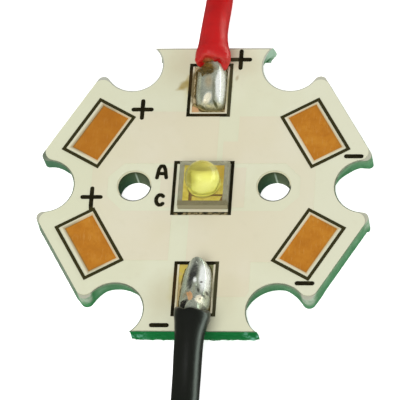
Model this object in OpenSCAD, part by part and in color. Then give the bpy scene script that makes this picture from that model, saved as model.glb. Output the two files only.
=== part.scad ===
// Star-shaped LED board: one power LED with a clear dome on a 20 mm star of
// glass-epoxy laminate, with a red and a black lead soldered to it.
// +X right, +Y towards the positive lead, +Z up. The origin is on the
// underside, below the middle of the star. Millimetres.

/* [Board] */
// Width across the two scored edges, where the leads cross
score_w = 20.0; // [18:0.1:24]
// Width across the routed edges
rout_w = 20.16; // [18:0.02:24]
// Radius of the screw notches between the arms
notch_r = 1.78; // [1.4:0.02:2.2]
// Diameter of the circle that the notch centres lie on
notch_pcd = 19.9; // [19:0.1:21]
// Corner radius of the routed arms
corner_r = 0.42; // [0.2:0.02:0.6]
// Thickness of the glass-epoxy core
core_t = 1.40; // [0.8:0.05:2.4]
// Thickness of the copper foil with its plating
foil_t = 0.05; // [0.03:0.01:0.1]
// Radius of the two through holes
hole_r = 1.0; // [0.6:0.05:1.3]
// Distance between the two through holes
hole_pitch = 8.68; // [8:0.02:9.6]

/* [Mask and legend] */
// Thickness of the white mask where it covers copper
mask_t = 0.04; // [0.02:0.005:0.06]
// How much lower the mask lies on bare laminate
mask_step = 0.015; // [0.005:0.005:0.03]
// Thickness of the printed legend
legend_t = 0.02; // [0.01:0.005:0.04]
// Width of the printed lines
line_w = 0.20; // [0.12:0.02:0.3]
// Print and copper registration against the scored outline, along X
print_x = -0.06; // [-0.15:0.01:0.15]
// Print and copper registration against the scored outline, along Y
print_y = -0.05; // [-0.15:0.01:0.15]
// How far the routed and drilled cuts lie off the scored outline, along Y
rout_y = 0.07; // [-0.15:0.01:0.15]

// How far the mask stops short of the cut edges and holes
mask_edge = 0.05; // [0.02:0.01:0.1]
// How much further it stops short of the screw notches
mask_notch = 0.06; // [0:0.01:0.12]
// Corner radius of the mask on the routed arms
mask_corner_r = 0.58; // [0.5:0.02:1]

/* [Pads] */
// Distance of the four slanted pads from the middle
pad_r = 7.82; // [7.4:0.02:8.1]
// Length of a slanted pad
pad_l = 3.52; // [3:0.02:3.8]
// Width of a slanted pad
pad_w = 1.94; // [1.6:0.02:2.1]
// Distance of the two lead pads from the middle
lead_pad_y = 7.0; // [6.8:0.05:7.2]
// Length of a lead pad
lead_pad_l = 3.3; // [2.8:0.1:3.4]
// Width of a lead pad
lead_pad_w = 2.1; // [1.8:0.05:2.2]

/* [LED] */
// Side of the square LED body
led_w = 3.1; // [2.8:0.05:3.2]
// How far the LED sits off the middle of its printed frame, along X
led_x = 0.12; // [-0.15:0.01:0.15]
// Height of the ceramic base
led_base_t = 0.465; // [0.3:0.005:0.7]
// Thickness of the clear layer over the base
led_slab_t = 0.13; // [0.05:0.01:0.3]
// Radius of the clear dome
dome_r = 1.06; // [0.8:0.02:1.3]
// Height of the dome's centre above the mask
dome_h = 1.25; // [1:0.05:1.5]
// Side of the square light-emitting chip
chip_w = 1.06; // [0.6:0.02:1.2]

/* [Leads] */
// Outer diameter of the insulated leads
lead_d = 1.6; // [1.4:0.05:1.7]
// Diameter of the stranded core
core_d = 0.76; // [0.5:0.02:0.9]
// Width of the insulation where heat has swollen it at the joint
flare_d = 2.1; // [1.7:0.05:2.2]
// Length of the bare tinned end
tip_l = 5; // [3:0.5:6]

/* [Hidden] */
$fn = 64;
eps = 0.01;

// Heights of the layers
z_core0 = foil_t;
z_core1 = z_core0 + core_t;
z_cu = z_core1 + foil_t;
z_mask = z_cu + mask_t;
z_mask_low = z_mask - mask_step;
z_print = z_mask + legend_t;
z_joint = z_cu + 0.06;
z_base0 = z_joint + 0.025;
z_base1 = z_base0 + led_base_t;
z_metal = z_base1 + 0.02;
z_chip = z_metal + 0.12;
z_phos = z_chip + 0.10;
z_slab = z_base1 + led_slab_t;
z_dome = z_mask + dome_h;

// ---- star outline -------------------------------------------------------
// Half width of an arm's edge line at angle a, drawn in by d
function apo(a, d) = ((a == 90 || a == 270) ? score_w / 2 - rout_y * sin(a) : rout_w / 2) - d;
// Corner where the edge lines at angles a and a + 60 cross
function hex_corner(a, d) = let (p = apo(a, d), q = apo(a + 60, d))
    [(p * sin(a + 60) - q * sin(a)) / sin(60),
     (q * cos(a) - p * cos(a + 60)) / sin(60)];

// What a corner radius r takes off beside the notch on side s of the arm at a,
// on an outline drawn in by d
module corner_cut(a, s, d, r, e) {
    p = rout_w / 2 - d;
    nx = notch_pcd / 2 * cos(30);
    ny = notch_pcd / 2 * sin(30);
    fx = p - r;
    fy = ny - sqrt(pow(notch_r + d + e + r, 2) - pow(fx - nx, 2));
    ang = atan2(ny - fy, nx - fx);
    rotate(a) mirror([0, s < 0 ? 1 : 0, 0])
        polygon(concat(
            [for (i = [0:9]) let (t = (ang - 1) * i / 9)
                [fx + r * cos(t), fy + r * sin(t)]],
            [[nx, ny], [p + 0.9, ny], [p + 0.9, fy]]));
}

// Star outline drawn in by d, with the routed corners rounded to r and the
// notches e wider still
module star(d = 0, r = 0, e = 0) {
    translate([0, rout_y]) difference() {
        polygon([for (a = [30:60:330]) hex_corner(a, d)]);
        for (a = [0:60:300])
            rotate(a) translate([notch_pcd / 2, 0]) circle(r = notch_r + d + e);
        if (r > 0)
            for (a = [30, 150, 210, 330], s = [-1, 1]) corner_cut(a, s, d, r, e);
    }
}

module holes(r) {
    for (s = [-1, 1]) translate([s * hole_pitch / 2, rout_y]) circle(r = r);
}

module slab(z0, z1) {
    translate([0, 0, z0]) linear_extrude(height = z1 - z0) children();
}

module box2(x0, y0, x1, y1) {
    translate([x0, y0]) square([x1 - x0, y1 - y0]);
}

// Everything that is printed or etched sits on the print's own registration
module printed() {
    translate([print_x, print_y]) children();
}

module slanted(a, l, w) {
    rotate(a) translate([pad_r, 0]) square([w, l], center = true);
}

module upright(s, l, w) {
    translate([0, s * lead_pad_y]) square([w, l], center = true);
}

// ---- copper -------------------------------------------------------------
// Eight-sided clearances round the through holes
module hole_clearance() {
    for (s = [-1, 1]) translate([s * hole_pitch / 2, 0])
        rotate(22.5) circle(r = 1.78, $fn = 8);
}

module plus_shape() {
    difference() {
        intersection() {
            star(0.35);
            printed() union() {
                for (a = [150, 210]) slanted(a, pad_l + 0.3, pad_w + 0.3);
                upright(1, lead_pad_l + 0.3, lead_pad_w + 0.3);
                box2(-6.95, -5.1, -5.0, 5.4);
                box2(-5.1, 1.7, 0.75, 5.4);
                box2(-5.1, -5.1, -1.8, -1.65);
                box2(-1.3, 0.72, 0.75, 1.8);
            }
        }
        hole_clearance();
    }
}

module minus_shape() {
    difference() {
        intersection() {
            star(0.35);
            printed() union() {
                for (a = [30, 330]) slanted(a, pad_l + 0.3, pad_w + 0.3);
                upright(-1, lead_pad_l + 0.3, lead_pad_w + 0.3);
                box2(5.0, -5.1, 6.95, 5.05);
                box2(2.0, 1.7, 5.1, 5.05);
                box2(1.1, 1.7, 2.1, 3.25);
                box2(-0.7, -5.2, 5.1, -1.65);
                box2(1.0, -7.6, 3.3, -5.1);
                box2(-0.7, -1.75, 1.3, -0.72);
            }
        }
        hole_clearance();
    }
}

module heat_shape() {
    difference() {
        printed() union() {
            box2(-2.75, -0.5, 2.65, 0.5);
            box2(-2.75, -1.4, -1.75, 1.4);
            box2(1.75, -1.4, 2.65, 1.4);
        }
        hole_clearance();
    }
}

module via_marks(r) {
    printed() for (x = [-0.9, -0.3, 0.3, 0.9], y = [-0.25, 0.25])
        translate([x, y]) circle(r = r);
}

module copper_plus() color("peru") slab(z_core1, z_cu) plus_shape();
module copper_minus() color("peru") slab(z_core1, z_cu) minus_shape();
module copper_heat_pad() color("peru") slab(z_core1, z_cu) heat_shape();
module thermal_vias() color("peru") slab(z_core0, z_core1) difference() {
    via_marks(0.15);
    via_marks(0.10);
}
module rear_copper() color("silver") slab(0, z_core0) difference() {
    star(0.4);
    holes(hole_r + 0.6);
}

// ---- laminate, mask and legend ------------------------------------------
module board_core() color([0.35, 0.55, 0.42]) slab(z_core0, z_core1) difference() {
    star(0, corner_r);
    holes(hole_r);
    via_marks(0.15);
}

// Where the mask leaves the copper bare
module openings() {
    printed() {
        for (a = [30, 330]) slanted(a, pad_l, pad_w);
        translate([0.09, -0.02]) for (a = [150, 210]) slanted(a, pad_l - 0.06, pad_w - 0.04);
        for (s = [-1, 1]) upright(s, lead_pad_l, lead_pad_w);
        led_lands();
    }
}

module mask_body() {
    difference() {
        slab(z_core1, z_mask) difference() {
            star(mask_edge, mask_corner_r, mask_notch);
            holes(hole_r + mask_edge + 0.03);
            openings();
        }
        slab(z_mask_low, z_mask + 1) difference() {
            star(-0.5);
            plus_shape();
            minus_shape();
            heat_shape();
        }
        slab(z_core1 - eps, z_cu) { plus_shape(); }
        slab(z_core1 - eps, z_cu) { minus_shape(); }
        slab(z_core1 - eps, z_cu) { heat_shape(); }
    }
}

module solder_mask() color([0.92, 0.89, 0.80]) mask_body();

module frame2(l, w) {
    difference() {
        square([l, w], center = true);
        square([l - 2 * line_w, w - 2 * line_w], center = true);
    }
}

// Printed stroke with round ends from p to q
module stroke(p, q, w = line_w) {
    d = q - p;
    a = atan2(d[1], d[0]);
    polygon(concat(
        [for (i = [0:6]) q + w / 2 * [cos(a - 90 + 30 * i), sin(a - 90 + 30 * i)]],
        [for (i = [0:6]) p + w / 2 * [cos(a + 90 + 30 * i), sin(a + 90 + 30 * i)]]));
}

module plus_mark(x, y) {
    stroke([x - 0.57, y], [x + 0.57, y], 0.26);
    stroke([x, y - 0.61], [x, y + 0.61], 0.26);
}

module minus_mark(x, y) stroke([x - 0.47, y], [x + 0.47, y], 0.27);

module mark_a(x, y) {
    for (m = [-1, 1]) {
        stroke([x + m * 0.29, y - 0.43], [x + m * 0.2, y + 0.16], 0.23);
        stroke([x + m * 0.2, y + 0.16], [x + m * 0.09, y + 0.39], 0.23);
    }
    stroke([x - 0.09, y + 0.39], [x + 0.09, y + 0.39], 0.23);
    stroke([x - 0.22, y - 0.14], [x + 0.22, y - 0.14], 0.23);
}

module mark_c(x, y) {
    for (i = [0:8]) let (a = 45 + 30 * i, b = a + 30)
        stroke([x + 0.25 * cos(a), y + 0.36 * sin(a)],
               [x + 0.25 * cos(b), y + 0.36 * sin(b)], 0.24);
}

module legend_shape() {
    for (a = [30, 150, 210, 330])
        translate([0, -0.05]) rotate(a) translate([pad_r, 0]) frame2(2.75, 4.26);
    translate([0, 6.95]) frame2(2.74, 3.82);
    translate([0, -7.06]) frame2(2.74, 3.76);
    translate([0, -0.045]) frame2(3.76, 3.80);
    plus_mark(1.82, 9.16);
    plus_mark(-4.15, 5.55);
    plus_mark(-6.87, -0.7);
    stroke([-6.87, -1.2], [-6.85, -1.52], 0.26);
    minus_mark(9.25, 2.2);
    minus_mark(6.68, -6.65);
    minus_mark(-2.03, -9.56);
    mark_a(-2.6, 1.1);
    mark_c(-2.58, -0.9);
}

module legend_print() color([0.10, 0.09, 0.05]) difference() {
    slab(z_cu + 0.005, z_print) intersection() {
        printed() legend_shape();
        star(mask_edge + 0.02, mask_corner_r, mask_notch);
    }
    mask_body();
}

// ---- LED ----------------------------------------------------------------
module led_lands() {
    box2(-1.2, 0.78, 0.7, 1.3);
    box2(-0.65, -1.3, 1.2, -0.78);
    box2(-1.2, -0.45, 1.2, 0.45);
}

module led_contact_shape() {
    box2(-1.1, 0.82, 0.6, 1.25);
    box2(-0.55, -1.25, 1.1, -0.82);
    box2(-1.1, -0.4, 1.1, 0.4);
}

module led_solder_joints() color("silver") slab(z_cu, z_joint) printed() led_contact_shape();
// Everything of the LED itself sits where it was placed
module placed() printed() translate([led_x, 0]) children();
module led_contacts() color("gold") slab(z_joint, z_base0) placed() led_contact_shape();
module led_base() color([0.55, 0.55, 0.48]) slab(z_base0, z_base1) placed()
    square(led_w, center = true);

module led_top_metal() color("goldenrod") slab(z_base1, z_metal) placed() {
    box2(-1.24, -1.24, -0.87, 1.24);
    box2(-0.66, -0.8, 1.24, 1.24);
    polygon([[-0.66, -1.24], [1.06, -1.24], [1.2, -0.93], [-0.66, -0.93]]);
}

chip_x = 0.1;
chip_y = -0.02;
module at_chip() placed() translate([chip_x, chip_y]) children();
module led_chip() color("lightsteelblue") slab(z_metal, z_chip)
    at_chip() square(chip_w, center = true);
module phosphor_layer() color("yellow") slab(z_chip, z_phos) at_chip() difference() {
    square(chip_w, center = true);
    translate([-chip_w / 2 - 0.1, -chip_w / 2 - 0.1]) square(0.27);
}
module surge_diode() color("dimgray") slab(z_metal, z_metal + 0.12)
    placed() translate([-1.055, 0.64]) square(0.26, center = true);

// Loop of bond wire from height za at xa to height zb at xb, along X
module loop(xa, za, xb, zb, y, w = 0.036) {
    r = (xb - xa) / 2;
    zt = max(za, zb);
    translate([print_x + led_x + (xa + xb) / 2, print_y + y, zt]) rotate([90, 0, 0])
        rotate_extrude(angle = 180, $fn = 48) translate([r, 0]) circle(d = w, $fn = 16);
    if (za < zt) translate([print_x + led_x + xa, print_y + y, za]) cylinder(h = zt - za, d = w, $fn = 16);
    if (zb < zt) translate([print_x + led_x + xb, print_y + y, zb]) cylinder(h = zt - zb, d = w, $fn = 16);
}
module bond_wires() color("gold") {
    loop(-1.0, z_metal, chip_x - chip_w / 2 + 0.09, z_chip, chip_y - chip_w / 2 + 0.09);
    loop(-1.055, z_metal + 0.12, -0.56, z_metal, 0.64);
}

module led_lens() color([0.95, 0.95, 0.85, 0.5]) difference() {
    union() {
        slab(z_base1, z_slab) placed() square(led_w - 0.08, center = true);
        translate([print_x + led_x, print_y, z_base1]) cylinder(r = dome_r, h = z_dome - z_base1);
        translate([print_x + led_x, print_y, z_dome]) intersection() {
            sphere(r = dome_r);
            translate([-2, -2, 0]) cube([4, 4, 2]);
        }
    }
    led_top_metal();
    led_chip();
    phosphor_layer();
    surge_diode();
    bond_wires();
}

// ---- leads --------------------------------------------------------------
// Height of a lead's middle at its joint
lead_z = 2.66;
// How far out the red and the black insulation start
red_y = 8.35;
black_y = 9.3;
// Bare core: it slopes from the lead's end down into the solder
core_y = 5.75;
core_z = 2.02;

// Route of each lead from its joint over the board's edge and down to the
// surface. The last point is where it runs into its coil.
coil_c = [3.6, 27.2];
turn_r = 10.4;
red_route = [[0.16, red_y, lead_z], [0.14, 8.8, 2.66], [0.12, 9.3, 2.64], [0.09, 10.2, 2.55],
    [0.09, 11.2, 2.28], [0.09, 12.2, 1.84], [0.08, 13.2, 1.36], [0.05, 14.2, 0.99],
    [-0.09, 15.33, 0.8], [-0.48, 16.38, 0.8], [-1.17, 17.28, 0.8], [-2.46, 18.56, 0.8],
    [coil_c[0] - turn_r * sin(45), coil_c[1] - turn_r * sin(45), 0.8]];
black_route = [[0.03, black_y, lead_z], [0.02, 9.7, 2.65], [-0.01, 10.2, 2.58], [-0.06, 11.1, 2.3],
    [-0.12, 12.0, 1.88], [-0.17, 12.9, 1.42], [-0.22, 13.7, 1.09], [-0.25, 14.5, 0.9],
    [-0.38, 15.61, 0.8], [-0.75, 16.64, 0.8], [-1.43, 17.53, 0.8], [-2.59, 18.69, 0.8],
    [coil_c[0] - turn_r * sin(45), coil_c[1] - turn_r * sin(45), 0.8]];
// Width of the insulation at the first points, where heat has swollen it
function lead_w(i) = i == 0 ? flare_d - 0.1 : i == 1 ? flare_d : i == 2 ? flare_d - 0.1 :
    i == 3 ? lead_d + 0.2 : i < 8 ? lead_d + 0.1 : lead_d;

function unit(v) = v / norm(v);
function heading(pts, i) = let (n = len(pts) - 1)
    i == 0 ? [0, 1, 0] : i == n ? unit([-1, 1, 0]) : unit(pts[i + 1] - pts[i - 1]);
function ring(pts, i, k) = let (t = heading(pts, i), s = unit(cross(t, [0, 0, 1])),
    u = cross(s, t), r = lead_w(i) / 2)
    [for (j = [0:k - 1]) let (a = 360 * (j + 0.5) / k)
        pts[i] + r * (cos(a) * s + sin(a) * u)];

// Tube along a list of points
module tube(pts, k = 8) {
    n = len(pts);
    polyhedron(
        points = [for (i = [0:n - 1]) each ring(pts, i, k)],
        faces = concat(
            [[for (j = [0:k - 1]) j]],
            [for (i = [0:n - 2], j = [0:k - 1])
                [i * k + (j + 1) % k, i * k + j, (i + 1) * k + j, (i + 1) * k + (j + 1) % k]],
            [[for (j = [k - 1:-1:0]) (n - 1) * k + j]]));
}

// Bare stranded core in the joint of a lead whose insulation starts at y
module joint_core(y) {
    tilt = atan2(lead_z - 0.06 - core_z, y - core_y);
    intersection() {
        translate([0.1, core_y, core_z]) rotate([tilt - 90, 0, 0])
            cylinder(d = core_d, h = 5);
        translate([-2, 5, 1]) cube([4, y - 5, 4]);
    }
}

// Mound of solder over the core from y0 to y1: half of a turned profile, on
// its pad, for a lead whose insulation starts at y
module joint_mound(y0, y1, y) {
    difference() {
        translate([0.02, 0, z_cu]) rotate([-90, 0, 0]) rotate([0, 0, 180])
            rotate_extrude(angle = 180)
                polygon([[0, y0], [0.35, y0 + 0.02], [0.7, y0 + 0.3], [0.88, y0 + 0.9],
                         [0.95, 6.9], [0.93, y1 - 0.72], [0.84, y1 - 0.22],
                         [0.6, y1 - 0.02], [0, y1]]);
        joint_core(y);
    }
}

module front() mirror([0, 1, 0]) children();

module solder_joint_plus() color("silver") joint_mound(5.42, 8.34, red_y);
module solder_joint_minus() color("silver") front() joint_mound(5.46, 8.52, black_y);
module red_lead_core() color("silver") joint_core(red_y);
module black_lead_core() color("silver") front() joint_core(black_y);
module red_lead() color([0.78, 0.08, 0.10]) tube(red_route);
module black_lead() color([0.13, 0.13, 0.11]) front() tube(black_route);

// Coil of the remaining length: two layers of turns, wound inwards on the
// surface and back outwards on top. Angles run from the point of entry.
coil_in = 6.6;
coil_mid = 9.0;
coil_low = turn_r + lead_d / 2;
coil_high = 10.6;
coil_h = 3.2;
entry_a = 225;
tie_a = -13.5;
tie_w = 14;
tie_t = 0.3;
tie_out = 10.5;
end_a = 75.5;
tip_r = 9.74;

// Section with its corners taken off
module section(r0, r1, z0, z1, c) {
    polygon([[r0 + c, z0], [r1 - c, z0], [r1, z0 + c], [r1, z1 - c],
             [r1 - c, z1], [r0 + c, z1], [r0, z1 - c], [r0, z0 + c]]);
}
module swept(a0, a1) {
    rotate([0, 0, a0]) rotate_extrude(angle = a1 - a0, $fn = 96) children();
}
module tie_bore() section(coil_in + tie_t, tie_out - tie_t, tie_t, coil_h + 0.1, 0.5);

module coil_solid() {
    translate(coil_c) difference() {
        union() {
            rotate_extrude($fn = 96) section(coil_in, coil_mid + 0.1, 0, coil_h, 0.4);
            swept(entry_a - 320, entry_a) section(coil_mid - 0.5, coil_low, 0, lead_d, 0.4);
            swept(end_a, end_a + 180) section(coil_mid - 0.5, coil_high, lead_d - 0.02, coil_h, 0.4);
        }
        swept(tie_a - tie_w / 2, tie_a + tie_w / 2) difference() {
            translate([coil_in - 1, -1]) square([coil_low - coil_in + 2, coil_h + 2]);
            tie_bore();
        }
    }
}
module coil_tie() {
    translate(coil_c) swept(tie_a - tie_w / 2, tie_a + tie_w / 2) difference() {
        section(coil_in, tie_out, 0, coil_h + 0.1 + tie_t, 0.6);
        tie_bore();
    }
}
module coil_tip() {
    translate(coil_c) swept(end_a - tip_l / tip_r * 180 / PI, end_a)
        translate([tip_r, lead_d + core_d / 2]) circle(d = core_d);
}

module red_lead_coil() color([0.78, 0.08, 0.10]) coil_solid();
module red_lead_tie() color("ivory") coil_tie();
module red_lead_tip() color("silver") coil_tip();
module black_lead_coil() color([0.13, 0.13, 0.11]) front() coil_solid();
module black_lead_tie() color("ivory") front() coil_tie();
module black_lead_tip() color("silver") front() coil_tip();

board_core();
copper_plus();
copper_minus();
copper_heat_pad();
thermal_vias();
rear_copper();
solder_mask();
legend_print();
led_solder_joints();
led_contacts();
led_base();
led_top_metal();
led_chip();
phosphor_layer();
surge_diode();
bond_wires();
led_lens();
solder_joint_plus();
solder_joint_minus();
red_lead_core();
red_lead();
red_lead_coil();
red_lead_tie();
red_lead_tip();
black_lead_core();
black_lead();
black_lead_coil();
black_lead_tie();
black_lead_tip();
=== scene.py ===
import math

import bmesh
import bpy
import numpy as np
from mathutils import Matrix, Vector, noise
from mathutils.geometry import tessellate_polygon


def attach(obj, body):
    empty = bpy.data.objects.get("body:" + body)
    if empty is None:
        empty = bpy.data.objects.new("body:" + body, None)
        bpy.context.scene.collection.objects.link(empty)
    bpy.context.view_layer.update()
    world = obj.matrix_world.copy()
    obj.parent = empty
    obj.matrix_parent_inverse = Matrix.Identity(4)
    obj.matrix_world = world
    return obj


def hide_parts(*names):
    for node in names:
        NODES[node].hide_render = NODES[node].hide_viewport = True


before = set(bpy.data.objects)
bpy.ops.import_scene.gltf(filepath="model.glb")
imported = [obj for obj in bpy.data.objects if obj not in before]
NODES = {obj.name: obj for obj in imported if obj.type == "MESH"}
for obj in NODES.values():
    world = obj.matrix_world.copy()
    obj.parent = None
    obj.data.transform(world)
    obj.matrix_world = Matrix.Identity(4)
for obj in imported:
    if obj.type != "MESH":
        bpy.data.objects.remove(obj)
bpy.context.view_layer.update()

MM = 0.001
scene = bpy.context.scene

# Offset of everything printed or etched against the routed outline (mm)
PX, PY = -0.06, -0.05
# Offset of the routed and drilled cuts, and of the LED in its printed frame
ROUT_Y, LED_X = 0.07, 0.12
Z_CU, Z_MASK = 1.50, 1.54


# ---------------------------------------------------------------- camera
def make_camera():
    data = bpy.data.cameras.new("camera")
    data.sensor_width = 36.0
    data.lens = 359.0
    data.clip_start, data.clip_end = 0.01, 20.0
    cam = bpy.data.objects.new("camera", data)
    scene.collection.objects.link(cam)
    fwd = Vector((-0.1349, 0.4797, -0.8670)).normalized()
    right = Vector((0.9908, 0.0670, -0.1172))
    right = (right - fwd * right.dot(fwd)).normalized()
    up = right.cross(fwd)
    m = Matrix((right, up, -fwd)).transposed().to_4x4()
    m.translation = Vector((32.94, -118.64, 214.26)) * MM
    cam.matrix_world = m
    scene.camera = cam
    return cam


make_camera()


# ---------------------------------------------------------------- shading
class Shade:
    """A small helper that builds one procedural material."""

    def __init__(self, name):
        self.m = bpy.data.materials.new(name)
        self.m.use_nodes = True
        self.t = self.m.node_tree
        self.t.nodes.clear()
        self._xyz = None
        self._nrm = None

    def put(self, sock, v):
        if isinstance(v, bpy.types.NodeSocket):
            self.t.links.new(v, sock)
        else:
            if sock.type == "RGBA" and len(v) == 3:
                v = (*v, 1.0)
            sock.default_value = v

    def node(self, kind, ins=None, **props):
        n = self.t.nodes.new(kind)
        for k, v in props.items():
            setattr(n, k, v)
        for k, v in (ins or {}).items():
            self.put(n.inputs[k], v)
        return n

    def pos(self):
        return self.node("ShaderNodeTexCoord").outputs["Object"]

    def xyz(self):
        """Object position in millimetres, as three sockets."""
        if self._xyz is None:
            sc = self.node("ShaderNodeVectorMath", {0: self.pos()}, operation="SCALE")
            sc.inputs["Scale"].default_value = 1000.0
            sp = self.node("ShaderNodeSeparateXYZ", {0: sc.outputs[0]})
            self._xyz = (sp.outputs[0], sp.outputs[1], sp.outputs[2])
            self._mmvec = sc.outputs[0]
        return self._xyz

    def mmvec(self):
        self.xyz()
        return self._mmvec

    def normal(self):
        if self._nrm is None:
            g = self.node("ShaderNodeNewGeometry")
            sp = self.node("ShaderNodeSeparateXYZ", {0: g.outputs["Normal"]})
            self._nrm = (sp.outputs[0], sp.outputs[1], sp.outputs[2])
        return self._nrm

    def math(self, op, a, b=0.0, c=0.0, clamp=False):
        n = self.node("ShaderNodeMath", operation=op, use_clamp=clamp)
        for i, v in enumerate((a, b, c)):
            if i < len(n.inputs):
                self.put(n.inputs[i], v)
        return n.outputs[0]

    def add(self, a, b):
        return self.math("ADD", a, b)

    def mul(self, a, b):
        return self.math("MULTIPLY", a, b)

    def sub(self, a, b):
        return self.math("SUBTRACT", a, b)

    def step(self, v, a, b, c=0.0, d=1.0):
        """Smooth change from c to d as v goes from a to b."""
        n = self.node("ShaderNodeMapRange", interpolation_type="SMOOTHSTEP")
        for i, x in enumerate((v, a, b, c, d)):
            self.put(n.inputs[i], x)
        return n.outputs[0]

    def lin(self, v, a, b, c=0.0, d=1.0):
        n = self.node("ShaderNodeMapRange", interpolation_type="LINEAR")
        for i, x in enumerate((v, a, b, c, d)):
            self.put(n.inputs[i], x)
        return n.outputs[0]

    def noise(self, scale, detail=3.0, rough=0.55, stretch=None, distort=0.0, seed=0.0):
        """Noise in millimetre space: scale is features per millimetre."""
        vec = self.mmvec()
        if stretch is not None or seed:
            mp = self.node("ShaderNodeMapping", {0: vec})
            mp.inputs["Scale"].default_value = stretch or (1, 1, 1)
            mp.inputs["Location"].default_value = (seed, seed * 1.7, -seed)
            vec = mp.outputs[0]
        n = self.node("ShaderNodeTexNoise", {"Vector": vec, "Scale": scale, "Detail": detail,
                                             "Roughness": rough, "Distortion": distort})
        return n.outputs["Fac"]

    def cells(self, scale, feature="F1", seed=0.0):
        vec = self.mmvec()
        if seed:
            mp = self.node("ShaderNodeMapping", {0: vec})
            mp.inputs["Location"].default_value = (seed, -seed, seed * 0.5)
            vec = mp.outputs[0]
        n = self.node("ShaderNodeTexVoronoi", {"Vector": vec, "Scale": scale}, feature=feature)
        return n.outputs["Distance"]

    def mix(self, fac, a, b, blend="MIX"):
        n = self.node("ShaderNodeMix", data_type="RGBA", blend_type=blend)
        self.put(n.inputs[0], fac)
        self.put(n.inputs[6], a)
        self.put(n.inputs[7], b)
        return n.outputs[2]

    def ramp(self, fac, stops):
        n = self.node("ShaderNodeValToRGB", {0: fac})
        e = n.color_ramp.elements
        while len(e) < len(stops):
            e.new(0.5)
        for el, (p, c) in zip(e, stops):
            el.position = p
            el.color = (*c, 1.0)
        return n.outputs[0]

    def blob(self, cx, cy, rx, ry, inner=0.3, wob=0.0, wscale=2.0, seed=0.0, turn=0.0):
        """1 inside an ellipse on the board, fading to 0 at its edge."""
        x, y, _ = self.xyz()
        dx, dy = self.sub(x, cx), self.sub(y, cy)
        if turn:
            c, s = math.cos(turn), math.sin(turn)
            dx, dy = (self.add(self.mul(dx, c), self.mul(dy, s)),
                      self.sub(self.mul(dy, c), self.mul(dx, s)))
        u = self.mul(dx, 1.0 / rx)
        v = self.mul(dy, 1.0 / ry)
        d = self.math("SQRT", self.add(self.mul(u, u), self.mul(v, v)))
        if wob:
            d = self.add(d, self.mul(self.sub(self.noise(wscale, 4, 0.6, seed=seed + 3.1), 0.5), wob))
        return self.step(d, 1.0, inner)

    def bump(self, height, strength, distance_mm, normal=None):
        n = self.node("ShaderNodeBump", {"Strength": strength, "Distance": distance_mm * MM,
                                         "Height": height})
        if normal is not None:
            self.put(n.inputs["Normal"], normal)
        return n.outputs[0]

    def finish(self, **ins):
        """Principled surface from socket names (underscores for spaces)."""
        p = self.node("ShaderNodeBsdfPrincipled")
        for k, v in ins.items():
            self.put(p.inputs[k.replace("_", " ")], v)
        o = self.node("ShaderNodeOutputMaterial")
        self.t.links.new(p.outputs[0], o.inputs[0])
        return self.m


def srgb(r, g, b, gain=1.0):
    """Linear colour of a display colour, times a gain."""
    out = []
    for v in (r, g, b):
        v = v / 255.0
        v = v / 12.92 if v <= 0.04045 else ((v + 0.055) / 1.055) ** 2.4
        out.append(v * gain)
    return tuple(out)


# ---------------------------------------------------------------- mesh tools
def make_mesh(name, verts, faces, smooth=True):
    """Object from millimetre points, in the part's own frame."""
    me = bpy.data.meshes.new(name)
    me.from_pydata([tuple(np.asarray(v, float) * MM) for v in verts], [], faces)
    me.validate()
    bm = bmesh.new()
    bm.from_mesh(me)
    bmesh.ops.recalc_face_normals(bm, faces=bm.faces)
    bm.to_mesh(me)
    bm.free()
    me.polygons.foreach_set("use_smooth", [smooth] * len(me.polygons))
    ob = bpy.data.objects.new(name, me)
    scene.collection.objects.link(ob)
    return ob


def settle(ob, mat, slot, *nodes):
    """Gives a new piece its material and body, and hides the nodes it stands for; slot is not used."""
    ob.data.materials.clear()
    ob.data.materials.append(mat)
    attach(ob, "root")
    if nodes:
        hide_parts(*nodes)
    return ob


def smooth_by_angle(ob, deg):
    """Smooth shading with sharp edges kept above an angle."""
    me = ob.data
    me.polygons.foreach_set("use_smooth", [True] * len(me.polygons))
    bm = bmesh.new()
    bm.from_mesh(me)
    lim = math.radians(deg)
    for e in bm.edges:
        if len(e.link_faces) == 2:
            e.smooth = e.calc_face_angle(0.0) < lim
        else:
            e.smooth = False
    bm.to_mesh(me)
    bm.free()


def nz(p, scale=1.0, seed=0.0):
    """Smooth noise from -1 to 1 at a millimetre point."""
    return noise.noise(Vector((p[0] * scale + seed, p[1] * scale - seed * 1.3, p[2] * scale + seed * 0.7)))


def fractal(p, scale=1.0, seed=0.0, octaves=4):
    v, a, s = 0.0, 1.0, scale
    for k in range(octaves):
        v += a * nz(p, s, seed + k * 11.3)
        a *= 0.5
        s *= 2.07
    return v


def interp(x, xs, ys):
    """Smooth monotone interpolation through a table."""
    xs, ys = np.asarray(xs, float), np.asarray(ys, float)
    h = np.diff(xs)
    d = np.diff(ys) / h
    m = np.zeros(len(xs))
    for i in range(1, len(xs) - 1):
        if d[i - 1] * d[i] > 0:
            w1, w2 = 2 * h[i] + h[i - 1], h[i] + 2 * h[i - 1]
            m[i] = (w1 + w2) / (w1 / d[i - 1] + w2 / d[i])
    m[0], m[-1] = d[0], d[-1]
    x = np.clip(x, xs[0], xs[-1])
    i = np.clip(np.searchsorted(xs, x) - 1, 0, len(h) - 1)
    t = (x - xs[i]) / h[i]
    return ((2 * t**3 - 3 * t**2 + 1) * ys[i] + (t**3 - 2 * t**2 + t) * h[i] * m[i]
            + (-2 * t**3 + 3 * t**2) * ys[i + 1] + (t**3 - t**2) * h[i] * m[i + 1])


def bump1(x, c, w):
    """Soft hump of height 1 at c."""
    return math.exp(-((x - c) / w) ** 2)


def ang_bump(a, c, w):
    d = (a - c + 180.0) % 360.0 - 180.0
    return math.exp(-(d / w) ** 2)


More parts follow.
